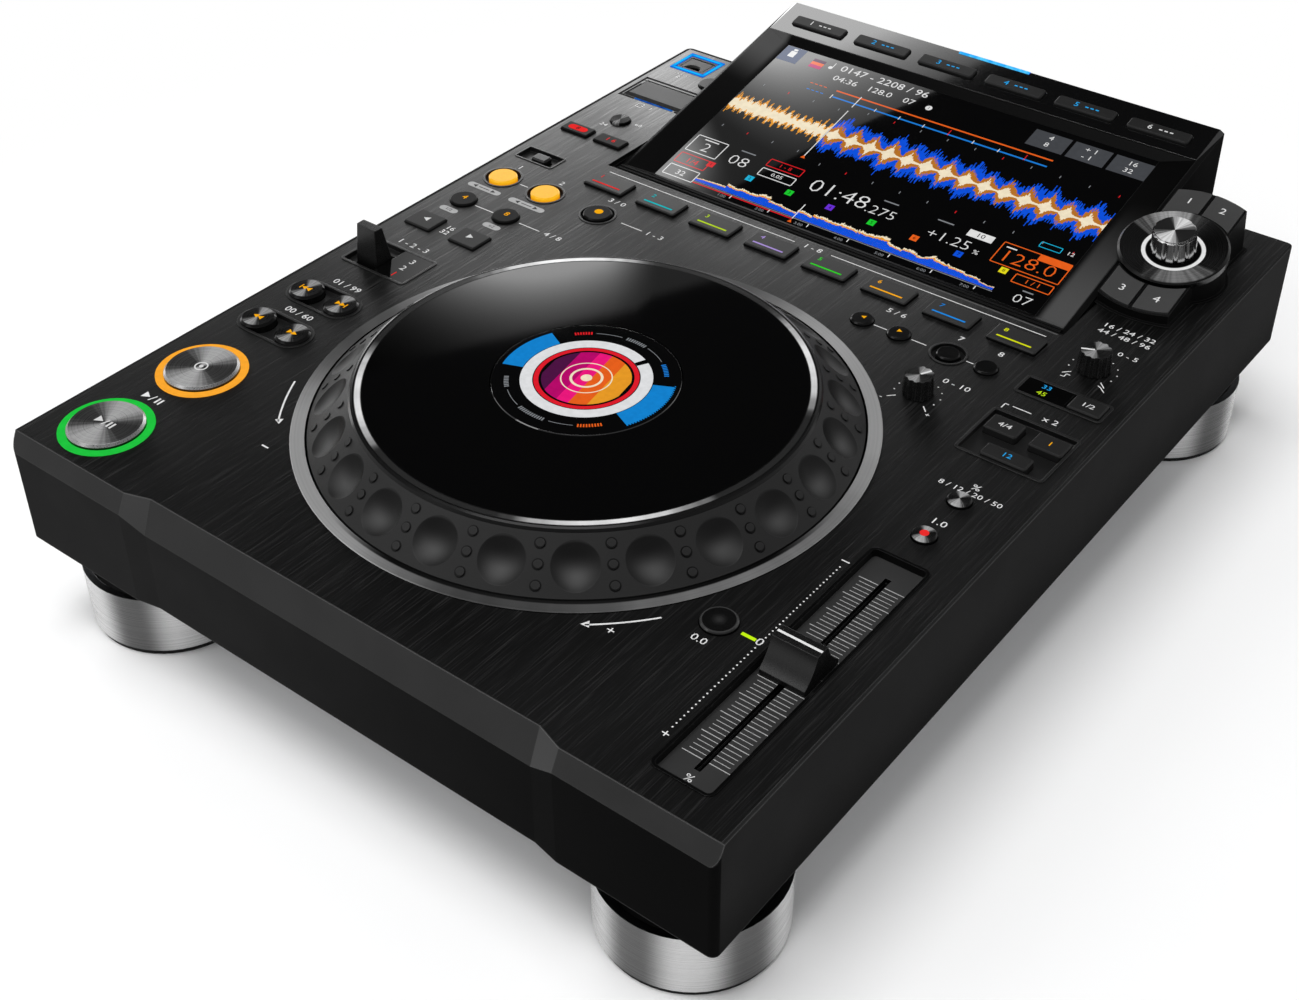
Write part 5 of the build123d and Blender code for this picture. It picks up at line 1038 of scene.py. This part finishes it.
def layKeyMarks():
    x, y = keyPlaces["play_key"][0]
    layMarks("play_key_mark", "play_key", "key_metal", (addTriangle, x - 3.0, y, 3.4, 0, "litWhite"),
             (addBox, x, y, 0.5, 3.6, "litWhite", 0, -20), (addBox, x + 2.2, y, 0.9, 3.4, "litWhite"),
             (addBox, x + 4.0, y, 0.9, 3.4, "litWhite"))
    x, y = keyPlaces["cue_key"][0]
    layMarks("cue_key_mark", "cue_key", "key_metal", (addArc, x, y, 2.2, 2.8, 0, 360, "litWhite", 0, 28),
             (addDisc, x, y, 0.9, "litWhite"))
    for nodeName, ends in (("search_keys", False), ("track_search_keys", True)):
        marks = []
        for side, (x, y) in zip((-1, 1), keyPlaces[nodeName]):
            for step in (-1.2, 1.2):
                marks.append((addTriangle, x + step, y, 2.4, 90 - side * 90, "amber"))
            if ends:
                marks.append((addBox, x + side * 2.8, y, 0.5, 2.8, "amber"))
        layMarks(nodeName + "_mark", nodeName, "key_metal", *marks)
    layArrows("beat_jump_mark", "beat_jump_keys", 0.6, 3.0, "litWhite")
    layMarks("beat_loop_mark", "beat_loop_keys", "key_black", (addText, "4", -148.8, 235.2, 4.4, "amber"),
             (addText, "8", -123.6, 235.2, 4.4, "amber"))
    for index, ink in enumerate(padInks):
        nodeName = f"hot_cue_pad_{index + 1}"
        x = (index - 3.5) * 30.0
        layMarks(nodeName + "_mark", nodeName, "key_black", (addBox, x, 282.3, 15.6, 0.9, ink),
                 (addText, str(index + 1), x - 6.2, 287.6, 3.6, ink))
    layArrows("call_mark", "call_keys", 0.8, 2.0, "amber")
    layMarks("reloop_mark", "reloop_key", "key_black", (addDisc, -92.5, 261.9, 2.0, "amber"))
    sheet = newSheet()
    addBoxes(sheet, "slot", 0, (sdDoor["x"], sdDoor["front"] + 1.7, sdDoor["wide"], 3.4),
             (sdDoor["x"] - 19.1, 370.4, 0.8, 12.0))
    laySheet(sheet, "sd_door_edge", "sd_door")
    layMarks("tempo_lamp", "tempo_keys", "key_metal", (addDisc, 138.6, 157.4, 1.7, "litRed"))
    left, right = keyPlaces["rear_left_keys"][:2]
    layMarks("edit_mark", "rear_left_keys", "key_black", (addTag, *left, 11.0, 4.2, "litRed"),
             (addText, "8", *left, 3.6, "slot", 1), (addText, "1 6", *right, 4.0, "litRed"))
    layMarks("jog_mode_key_mark", "jog_mode_key", "key_black", (addText, "1/2", 149.0, 260.5, 3.8, "white"))
    layMarks("master_key_mark", "master_key", "key_black", (addText, "1", 149.0, 230.2, 3.8, "amber"))
    layMarks("sync_mark", "sync_keys", "key_black", (addText, "4/4", 130.0, 230.2, 3.8, "litWhite"),
             (addText, "12", 139.6, 214.2, 3.8, "litCyan"))
    sheet = newSheet(windowTop)
    addTexts(sheet, "litWhite", ("3", -129.4, 181.0, 4.8), ("2", -129.4, 175.2, 4.8))
    addText(sheet, "1", -129.4, 169.4, 4.8, "litRed")
    addText(sheet, "33", 130.4, 262.9, 3.7, "litCyan")
    addText(sheet, "45", 130.4, 258.3, 3.7, "litLime")
    laySheet(sheet, "window_marks", "body")


# the cap at rest, and the scale on the floor of its tray
slider = {"at": (139.2, 79.0), "scaleTop": -2.99, "left": 137.9, "right": 140.5, "first": 29.0, "step": 2.0,
          "lines": 51}


def layKnobMarks():
    for nodeName, knob in knobs.items():
        ends = [spun((reach, 0), *knob["at"], knob["turn"]) for reach in (0.6, knob["line"])]
        layMarks(nodeName + "_pointer", nodeName, "knob_black", (addLine, *ends, 0.9, "white"))
    layMarks("slider_line", "slider_cap", "key_black", (addBox, *slider["at"], 17.2, 1.0, "white"))
    sheet = newSheet(slider["scaleTop"])
    left, right = slider["left"], slider["right"]
    for index in range(slider["lines"]):
        y = slider["first"] + slider["step"] * index
        long, wide = (7.8, 0.32) if index % 5 == 0 else (6.4, 0.24)
        addLine(sheet, (left, y), (left - long, y), wide, "grey2")
        addLine(sheet, (right, y), (right + long, y), wide, "grey2")
    addText(sheet, "%", 139.2, 20.4, 4.2, "white")
    laySheet(sheet, "tray_scale", "body")


layPanelPrint()
layKeyMarks()
layKnobMarks()
print("printing laid")

display = {
    "white": (20.3, 25.0), "red": (18.0, 19.9), "arc": (25.3, 33.5), "rim": 30.0, "picture": 17.0,
    "bands": ((-0.96, -0.6, "plum"), (-0.6, -0.2, "magenta"), (-0.2, 0.1, "pink"), (0.1, 0.5, "orange"),
              (0.5, 0.96, "amber")),
    "marks": ((132, 7, "red"), (90, 9, "midGrey"), (47, 8, "sky"), (222, 7, "midGrey"), (267, 12, "midGrey"),
              (312, 9, "orange")),
}


def addBand(sheet, x, y, radius, low, high, ink):
    # the slice of a disc between two parallel lines
    steps = 6
    first = math.asin(low / radius)
    last = math.asin(high / radius)
    right = []
    for step in range(steps + 1):
        angle = first + (last - first) * step / steps
        right.append((radius * math.cos(angle), radius * math.sin(angle)))
    left = [(-across, up) for across, up in reversed(right)]
    addPrism(sheet, [spun(point, x, y, -80) for point in right + left], ink)


def layDisplay():
    sheet = newSheet(topOf("jog_display") + gap, 0.02, family="glass")
    x, y = jogPlace
    addArc(sheet, x, y, *display["white"], 0, 360, "ringWhite", 0, 90)
    addArc(sheet, x, y, *display["red"], 0, 360, "ringRed", 0, 80)
    for start, end in ((153, 201), (-25, 27)):
        addArc(sheet, x, y, *display["arc"], start, end, "arcBlue", 0, 16)
    for index in range(27):
        addArc(sheet, x, y, 33.5, 34.0, -25 + 2 * index, -24 + 2 * index, "arcBlue", 0, 1)
    radius = display["picture"]
    for low, high, ink in display["bands"]:
        addBand(sheet, x, y, radius, low * radius, high * radius, ink)
    addArc(sheet, x, y, 5.4, 6.4, 0, 360, "cream", 1, 40)
    addArc(sheet, x, y, 9.4, 9.9, 0, 360, "cream", 1, 50)
    addDisc(sheet, x, y, 2.2, "cream", 1)
    # marker gap in the white ring, and the marks round it
    addArc(sheet, x, y, *display["white"], 60.0, 66.0, "black", 1, 2)
    rim = display["rim"]
    for middle, half, ink in display["marks"]:
        for step in range(half):
            start = middle - half + 2 * step
            addArc(sheet, x, y, rim - 0.9, rim + 0.9, start, start + 1.1, ink, 0, 1)
    for start, end in ((102, 122), (58, 78), (232, 252), (282, 300)):
        addArc(sheet, x, y, rim - 0.12, rim + 0.12, start, end, "midGrey", 0, 8)
    laySheet(sheet, "display_picture", "body")


closeWave = {"low": -43.8, "high": 99.2, "now": -44.2, "middle": 63.9, "step": 0.42}
trackShape = (0.3, 0.34, 0.62, 0.72, 0.7, 0.5, 0.42, 0.66, 1.0, 0.92,
              0.8, 0.95, 0.9, 0.7, 0.82, 0.74, 0.6, 0.5, 0.42, 0.3)


def addWave(sheet, left, right, middle, tall, step, inkList, seed, beat, rough, shape=None):
    # columns of seeded height; each ink has its steady share, its share on the beat, and how fast that dies
    # away; with a shape the columns stand on one line
    draw = random.Random(seed)
    count = int((right - left) / step)
    swell = [draw.uniform(0.5, 1.0) for _ in range(count // 14 + 2)]
    for index in range(count):
        x = left + (index + 0.5) * step
        slow = swell[index // 14] + (swell[index // 14 + 1] - swell[index // 14]) * (index % 14) / 14
        since = abs((index % beat) / beat - 0.3) / 0.7
        for level, (ink, steady, onBeat, fall) in enumerate(inkList):
            share = steady * slow + onBeat * (1 - min(since, 1)) ** fall
            envelope = shape[min(int(index / count * len(shape)), len(shape) - 1)] if shape else 1.0
            high = tall * share * envelope * draw.uniform(rough, 1.0) + 0.25
            low = 0 if shape else high * draw.uniform(0.85, 1.0)
            addBox(sheet, x, middle + (high - low) / 2, step * 0.98, high + low, ink, level)


def layTrackHead(sheet):
    addBox(sheet, -93.7, 108.1, 11.4, 11.6, "tile")
    addBoxes(sheet, "white", 1, (-93.7, 108.6, 3.4, 4.6), (-93.7, 112.1, 2.2, 1.4))
    for low, high, ink in ((-3.4, -1.0, "magenta"), (-1.0, 1.2, "orange"), (1.2, 3.4, "plum")):
        addBox(sheet, -78.0, 107.2 + (low + high) / 2, 6.8, high - low, ink)
    addDisc(sheet, -70.6, 107.6, 1.1, "white")
    addBox(sheet, -69.7, 109.6, 0.4, 4.2, "white")
    addTexts(sheet, "white", ("0147 - 2208 / 96", -65.6, 109.4, 6.4), ("04:36", -65.0, 101.6, 5.4),
             ("128.0", -45.6, 101.6, 5.4), ("07", -25.6, 101.6, 5.4), align="LEFT")
    addDisc(sheet, -11.4, 101.6, 1.7, "white")
    addText(sheet, "1", -11.4, 101.6, 2.6, "black", 1)
    # bars of the track, with their ticks
    addBox(sheet, 0.2, 93.4, 116.0, 0.9, "orange")
    addBox(sheet, 0.4, 88.6, 114.6, 0.9, "sky")
    for x in (-72.0, -69.4, -66.8, -64.2):
        addBox(sheet, x, 93.4, 1.6, 0.5, "orange")
        addBox(sheet, x + 1.0, 88.6, 1.6, 0.5, "sky")
    addBoxes(sheet, "white", 1, (-44.2, 90.2, 0.5, 8.8), (-57.6, 88.6, 0.5, 3.0))
    for index in range(7):
        y, high, ink = (90.0, 4.0, "red") if index in (3, 6) else (88.9, 2.4, "white")
        addBox(sheet, -33.0 + 13.2 * index, y, 0.4, high, ink, 1)


def layCloseWave(sheet):
    now, middle, step = closeWave["now"], closeWave["middle"], closeWave["step"]
    addWave(sheet, -99.2, -44.6, middle, 10.5, step,
            (("amber", 0.5, 0.55, 2), ("cream", 0.34, 0.36, 2)), 5, 9, 0.45)
    addWave(sheet, closeWave["low"], closeWave["high"], middle, 18.0, step,
            (("blue", 0.66, 0.34, 1), ("brown", 0.16, 0.5, 1.6), ("cream", 0.03, 0.36, 4)), 8, 24, 0.6)
    addBox(sheet, now, middle, 0.5, 37.6, "white", 3)
    addTriangle(sheet, now, 44.6, 2.2, 90, "orange", 3)
    for index in range(14):
        x = -92.0 + 14.4 * index
        ink = "red" if index % 4 == 1 else "midGrey"
        upper, lower = (81.6, 46.8) if x < now else (85.0, 43.2)
        addBoxes(sheet, ink, 0, (x, upper, 0.4, 1.6), (x, lower, 0.4, 1.6))
    # tabs at the upper right
    for x, upper, lower in ((50.0, "4", "8"), (70.2, "+ 1", "- 1"), (90.4, "16", "32")):
        addBox(sheet, x, 104.6, 18.4, 11.6, "grey")
        addTexts(sheet, "white", (upper, x, 107.2, 4.2), (lower, x, 102.2, 4.2), level=1)


def layCounters(sheet):
    for row in (
        (-97.6, 23.8, -80.4, 35.6, 0.5, "white"), (-97.4, 14.4, -80.4, 21.4, 0.5, "red"),
        (-97.2, 5.0, -80.4, 12.2, 0.5, "white"), (-56.4, 31.4, -37.8, 36.4, 0.5, "red"),
        (-56.4, 24.2, -37.8, 29.4, 0.5, "white"), (66.4, 22.8, 98.8, 36.2, 0.5, "orange"),
        (80.6, 15.6, 98.4, 20.8, 0.5, "orange"), (80.2, 40.4, 90.2, 43.6, 0.4, "cyan"),
    ):
        addFrame(sheet, *row)
    thin = 0.016  # share of their size that large figures lose at each edge
    addTexts(sheet, "white", ("2", -89.0, 28.6, 8.6), ("08", -69.4, 27.6, 9.6), ("07", 90.4, 7.4, 7.6),
             thin=thin)
    addTexts(sheet, "white", ("01:48", -30.6, 29.4, 12.4), (".275", 0.6, 27.6, 8.0),
             ("+1.25", 33.0, 26.0, 8.4), align="LEFT", thin=thin)
    addTexts(sheet, "orange", ("128.0", 81.6, 28.2, 10.6), thin=thin)
    addTexts(sheet, "red", ("1/4", -89.0, 17.4, 4.8), ("1 - 8", -47.1, 33.9, 3.2))
    addTexts(sheet, "white", ("32", -89.0, 8.2, 4.6), ("0.05", -47.1, 26.8, 3.2), ("%", 58.6, 24.2, 3.8),
             ("12", 94.6, 42.0, 3.2))
    addTexts(sheet, "orange", ("1 / 1", 89.5, 18.2, 3.6))
    addBoxes(sheet, "white", 0, (-89.0, 33.9, 8.0, 0.7), (55.4, 34.4, 12.4, 4.4), (71.0, 33.8, 5.0, 0.7))
    addBoxes(sheet, "midGrey", 0, (-68.6, 35.0, 8.0, 0.7), (9.4, 35.4, 7.6, 0.7), (37.4, 35.4, 8.0, 0.7),
             (90.4, 12.8, 5.0, 0.7))
    addBox(sheet, 91.2, 34.2, 14.8, 3.8, "orange")
    addText(sheet, "10", 55.4, 34.4, 3.8, "black", 1)


def layWholeTrack(sheet):
    addWave(sheet, -80.0, 76.6, 7.0, 10.4, 0.5, (("cream", 0.9, 0.15, 1), ("amber", 0.78, 0.1, 1),
                                                 ("blue", 0.62, 0.1, 1)), 21, 22, 0.86, trackShape)
    addBox(sheet, -1.6, 6.4, 157.0, 0.4, "midGrey")
    addBox(sheet, -52.2, 5.6, 55.6, 0.6, "red")
    addBox(sheet, -24.4, 11.2, 0.5, 10.6, "white", 3)
    addTriangle(sheet, -24.4, 4.2, 2.0, 90, "orange")
    for index in range(7):
        x = -57.9 + 21.2 * index
        addBox(sheet, x, 5.0, 0.45, 2.0, "white", 1)
        addText(sheet, f"{index + 1}:00", x - 4.4, 3.9, 2.3, "midGrey", 1)
    for index, ink in enumerate(("red", "cyan", "green", "violet", "green", "orange", "blue", "yellow")):
        x = -79.7 + 22.06 * index
        addBox(sheet, x, 20.0, 3.6, 3.6, ink)
        addText(sheet, str(index + 1), x, 20.0, 2.6, "black", 1)


def layScreen():
    # a generic player layout
    sheet = newSheet(screen["litLevel"] + gap, 0.012, onScreen, "glass")
    layTrackHead(sheet)
    layCloseWave(sheet)
    layCounters(sheet)
    layWholeTrack(sheet)
    laySheet(sheet, "screen_picture", "body")
    sheet = newSheet(screen["stripTop"], place=onScreen)
    for index in range(6):
        x = (index - 2.5) * 36.6
        ink = "litWhite" if index in (0, 5) else "litCyan"
        addText(sheet, str(index + 1), x - 4.6, 130.2, 4.4, ink)
        for step in range(3):
            addBox(sheet, x + 0.6 + 2.6 * step, 130.2, 1.6, 0.7, ink)
    laySheet(sheet, "strip_marks", "strip_keys")
    sheet = newSheet(screen["podTop"], place=onScreen)
    addTexts(sheet, "litWhite", ("1", 125.2, 90.0, 5.2), ("2", 140.4, 90.0, 5.2), ("3", 125.2, 28.6, 5.2),
             ("4", 140.4, 28.6, 5.2))
    laySheet(sheet, "pod_marks", "pod_keys")


layDisplay()
layScreen()
print("pictures laid")

studio = {
    "cameraAt": (0.365954, -0.510157, 0.499475),
    "azimuth": 37.3067,
    "elevation": 35.8644,
    "roll": 0.0635,
    "lens": 50.845,
    "shift": (-0.01746, -0.07457),
    "darkSector": (4.0, 88.0),  # azimuths behind the player, to the left, dark above the horizon
    "cardAzimuth": 43.0,
    "cardDistance": 0.302,
    "cardHalf": 0.6,
    "cardFoot": 0.01,
    # across, height
    "cardTop": ((0.6, 0.155), (0.16, 0.264), (0.123, 0.273), (0.058, 0.286), (0.03, 0.2945), (0.0, 0.3025),
                (-0.01, 0.311), (-0.058, 0.3195), (-0.1, 0.3285), (-0.142, 0.3375), (-0.5, 0.43)),
    "floorHalf": 4.0,
}


def buildCamera():
    lens = bpy.data.cameras.new("studioCamera")
    lens.lens = studio["lens"]
    lens.sensor_width = 36.0
    lens.shift_x, lens.shift_y = studio["shift"]
    lens.clip_start = 0.01
    camera = newObject("studioCamera", lens)
    azimuth, elevation, roll = (math.radians(studio[key]) for key in ("azimuth", "elevation", "roll"))
    level = math.cos(elevation)
    ahead = Vector((-math.sin(azimuth) * level, math.cos(azimuth) * level, -math.sin(elevation)))
    right = Vector((math.cos(azimuth), math.sin(azimuth), 0))
    up = right.cross(ahead)
    sideways = right * math.cos(roll) + up * math.sin(roll)
    upward = up * math.cos(roll) - right * math.sin(roll)
    turn = Matrix((sideways, upward, -ahead)).transposed().to_4x4()
    camera.matrix_world = Matrix.Translation(Vector(studio["cameraAt"])) @ turn
    bpy.context.scene.camera = camera


def flatPiece(name, corners, finish):
    mesh = bpy.data.meshes.new(name)
    mesh.from_pydata(corners, [], [tuple(range(len(corners)))])
    mesh.materials.append(finish)
    piece = newObject(name, mesh)
    return piece


def floorFinish(name):
    # pale floor that keeps its shadow near the player and turns plain white further out
    shader = newFinish(name, Roughness=0.9, Specular_IOR_Level=0.1)
    coords = coordsOf(shader)
    feed(shader, Base_Color=mixed(noiseOf(coords, 6.0), colour(246), colour(250)))
    ray = put(shader, "LightPath").outputs
    seen = calc("MAXIMUM", ray["Is Camera Ray"], ray["Is Glossy Ray"])
    seen = calc("MAXIMUM", seen, ray["Is Transmission Ray"])
    share = times(mapped(lengthOf(coords), 0.28, 0.52), seen)
    white = put(shader, "Emission", {"Color": colour(255), "Strength": 1.0}).outputs[0]
    show(shader, put(shader, "MixShader", {0: share, 1: shader.outputs[0], 2: white}).outputs[0])


def cardFinish(name, along):
    # bright low down and to the left of its middle, dimmer towards the top edge
    shader = newFinish(name)
    coords = coordsOf(shader)
    height = axesOf(coords)["Z"]
    across = vectorMath("DOT_PRODUCT", coords, along, "Value")
    right = calc("EXPONENT", over(minus(0.25, height), 0.03))
    right = times(right, mapped(across, 0.0, 0.07, 0.08, 0.95))
    right = times(calc("MINIMUM", right, 3.0), mapped(across, 0.16, 0.24, 1.0, 0.12))
    right = calc("MAXIMUM", right, mapped(across, 0.06, 0.14, 0.14, 0.0))
    middle = over(plus(across, 0.068), 0.052)
    swell = calc("EXPONENT", times(times(middle, middle), -1.0))
    left = calc("EXPONENT", over(minus(0.303, height), 0.018))
    left = times(left, plus(times(swell, 0.75), 0.12))
    left = times(calc("MINIMUM", left, 2.4), mapped(across, -0.2, -0.11, 0.14, 1.0))
    left = times(left, mapped(height, 0.19, 0.25, 0.4, 1.0))
    low = times(mapped(height, 0.185, 0.145, 0.0, 3.4), mapped(across, 0.01, 0.05, 1.0, 0.0))
    side = mapped(across, -0.03, 0.005)
    level = plus(plus(times(side, right), times(minus(1.0, side), left)), low)
    show(shader, put(shader, "Emission", {"Color": colour(255), "Strength": level}).outputs[0])


def buildStage():
    half = studio["floorHalf"]
    floorFinish("studioFloor")
    flatPiece("studio_floor", [(-half, -half, 0), (half, -half, 0), (half, half, 0), (-half, half, 0)],
              finishes["studioFloor"])
    azimuth = math.radians(studio["cardAzimuth"])
    away = Vector((-math.sin(azimuth), math.cos(azimuth), 0)) * studio["cardDistance"]
    along = Vector((math.cos(azimuth), math.sin(azimuth), 0))
    cardFinish("reflectionCard", along)
    corners = [(side * studio["cardHalf"], studio["cardFoot"]) for side in (-1, 1)] + list(studio["cardTop"])
    outline = [away + along * across + Vector((0, 0, height)) for across, height in corners]
    card = flatPiece("reflection_card", outline, finishes["reflectionCard"])
    card.visible_camera = False
    card.visible_diffuse = False
    card.visible_shadow = False
    card.visible_transmission = False


def buildLamps():
    sun = bpy.data.lights.new("softTop", "SUN")
    sun.energy = 1.95
    sun.angle = math.radians(38)
    newObject("softTop", sun).rotation_euler = (math.radians(6), math.radians(-6), 0)
    area = bpy.data.lights.new("frontLeftBox", "AREA")
    area.shape = "SQUARE"
    area.size = 0.7
    area.energy = 4.5
    lamp = newObject("frontLeftBox", area)
    lamp.location = (-0.74, -0.93, 1.2)
    lamp.rotation_euler = (Vector((0, -0.08, 0.09)) - lamp.location).to_track_quat("-Z", "Y").to_euler()
    lamp.visible_camera = False


def buildWorld():
    # white low down, fading upwards, with a dark sector behind the player to the left
    world = bpy.data.worlds.new("studioWorld")
    world.use_nodes = True
    sky = world.node_tree.nodes["Background"]
    x, y, z = axesOf(put(sky, "TexCoord").outputs["Generated"])
    height = calc("ARCSINE", z)
    around = calc("ARCTAN2", times(x, -1.0), y)
    first, last = (math.radians(value) for value in studio["darkSector"])
    inside = times(mapped(around, first, first + 0.2), mapped(around, last, last + 0.2, 1.0, 0.0))
    below = mapped(height, math.radians(56), math.radians(62), 1.0, 0.0)
    low = (1.1, 1.1, 1.1, 1)
    plain = mixed(mapped(height, math.radians(17), math.radians(34)), low, (0.34, 0.34, 0.345, 1))
    dim = mixed(mapped(height, math.radians(13), math.radians(31)), low, (0.012, 0.012, 0.013, 1))
    link(sky, "Color", mixed(times(inside, below), plain, dim))
    bpy.context.scene.world = world


buildCamera()
buildStage()
buildLamps()
buildWorld()
bpy.context.scene.view_settings.view_transform = "Standard"
print("studio built")
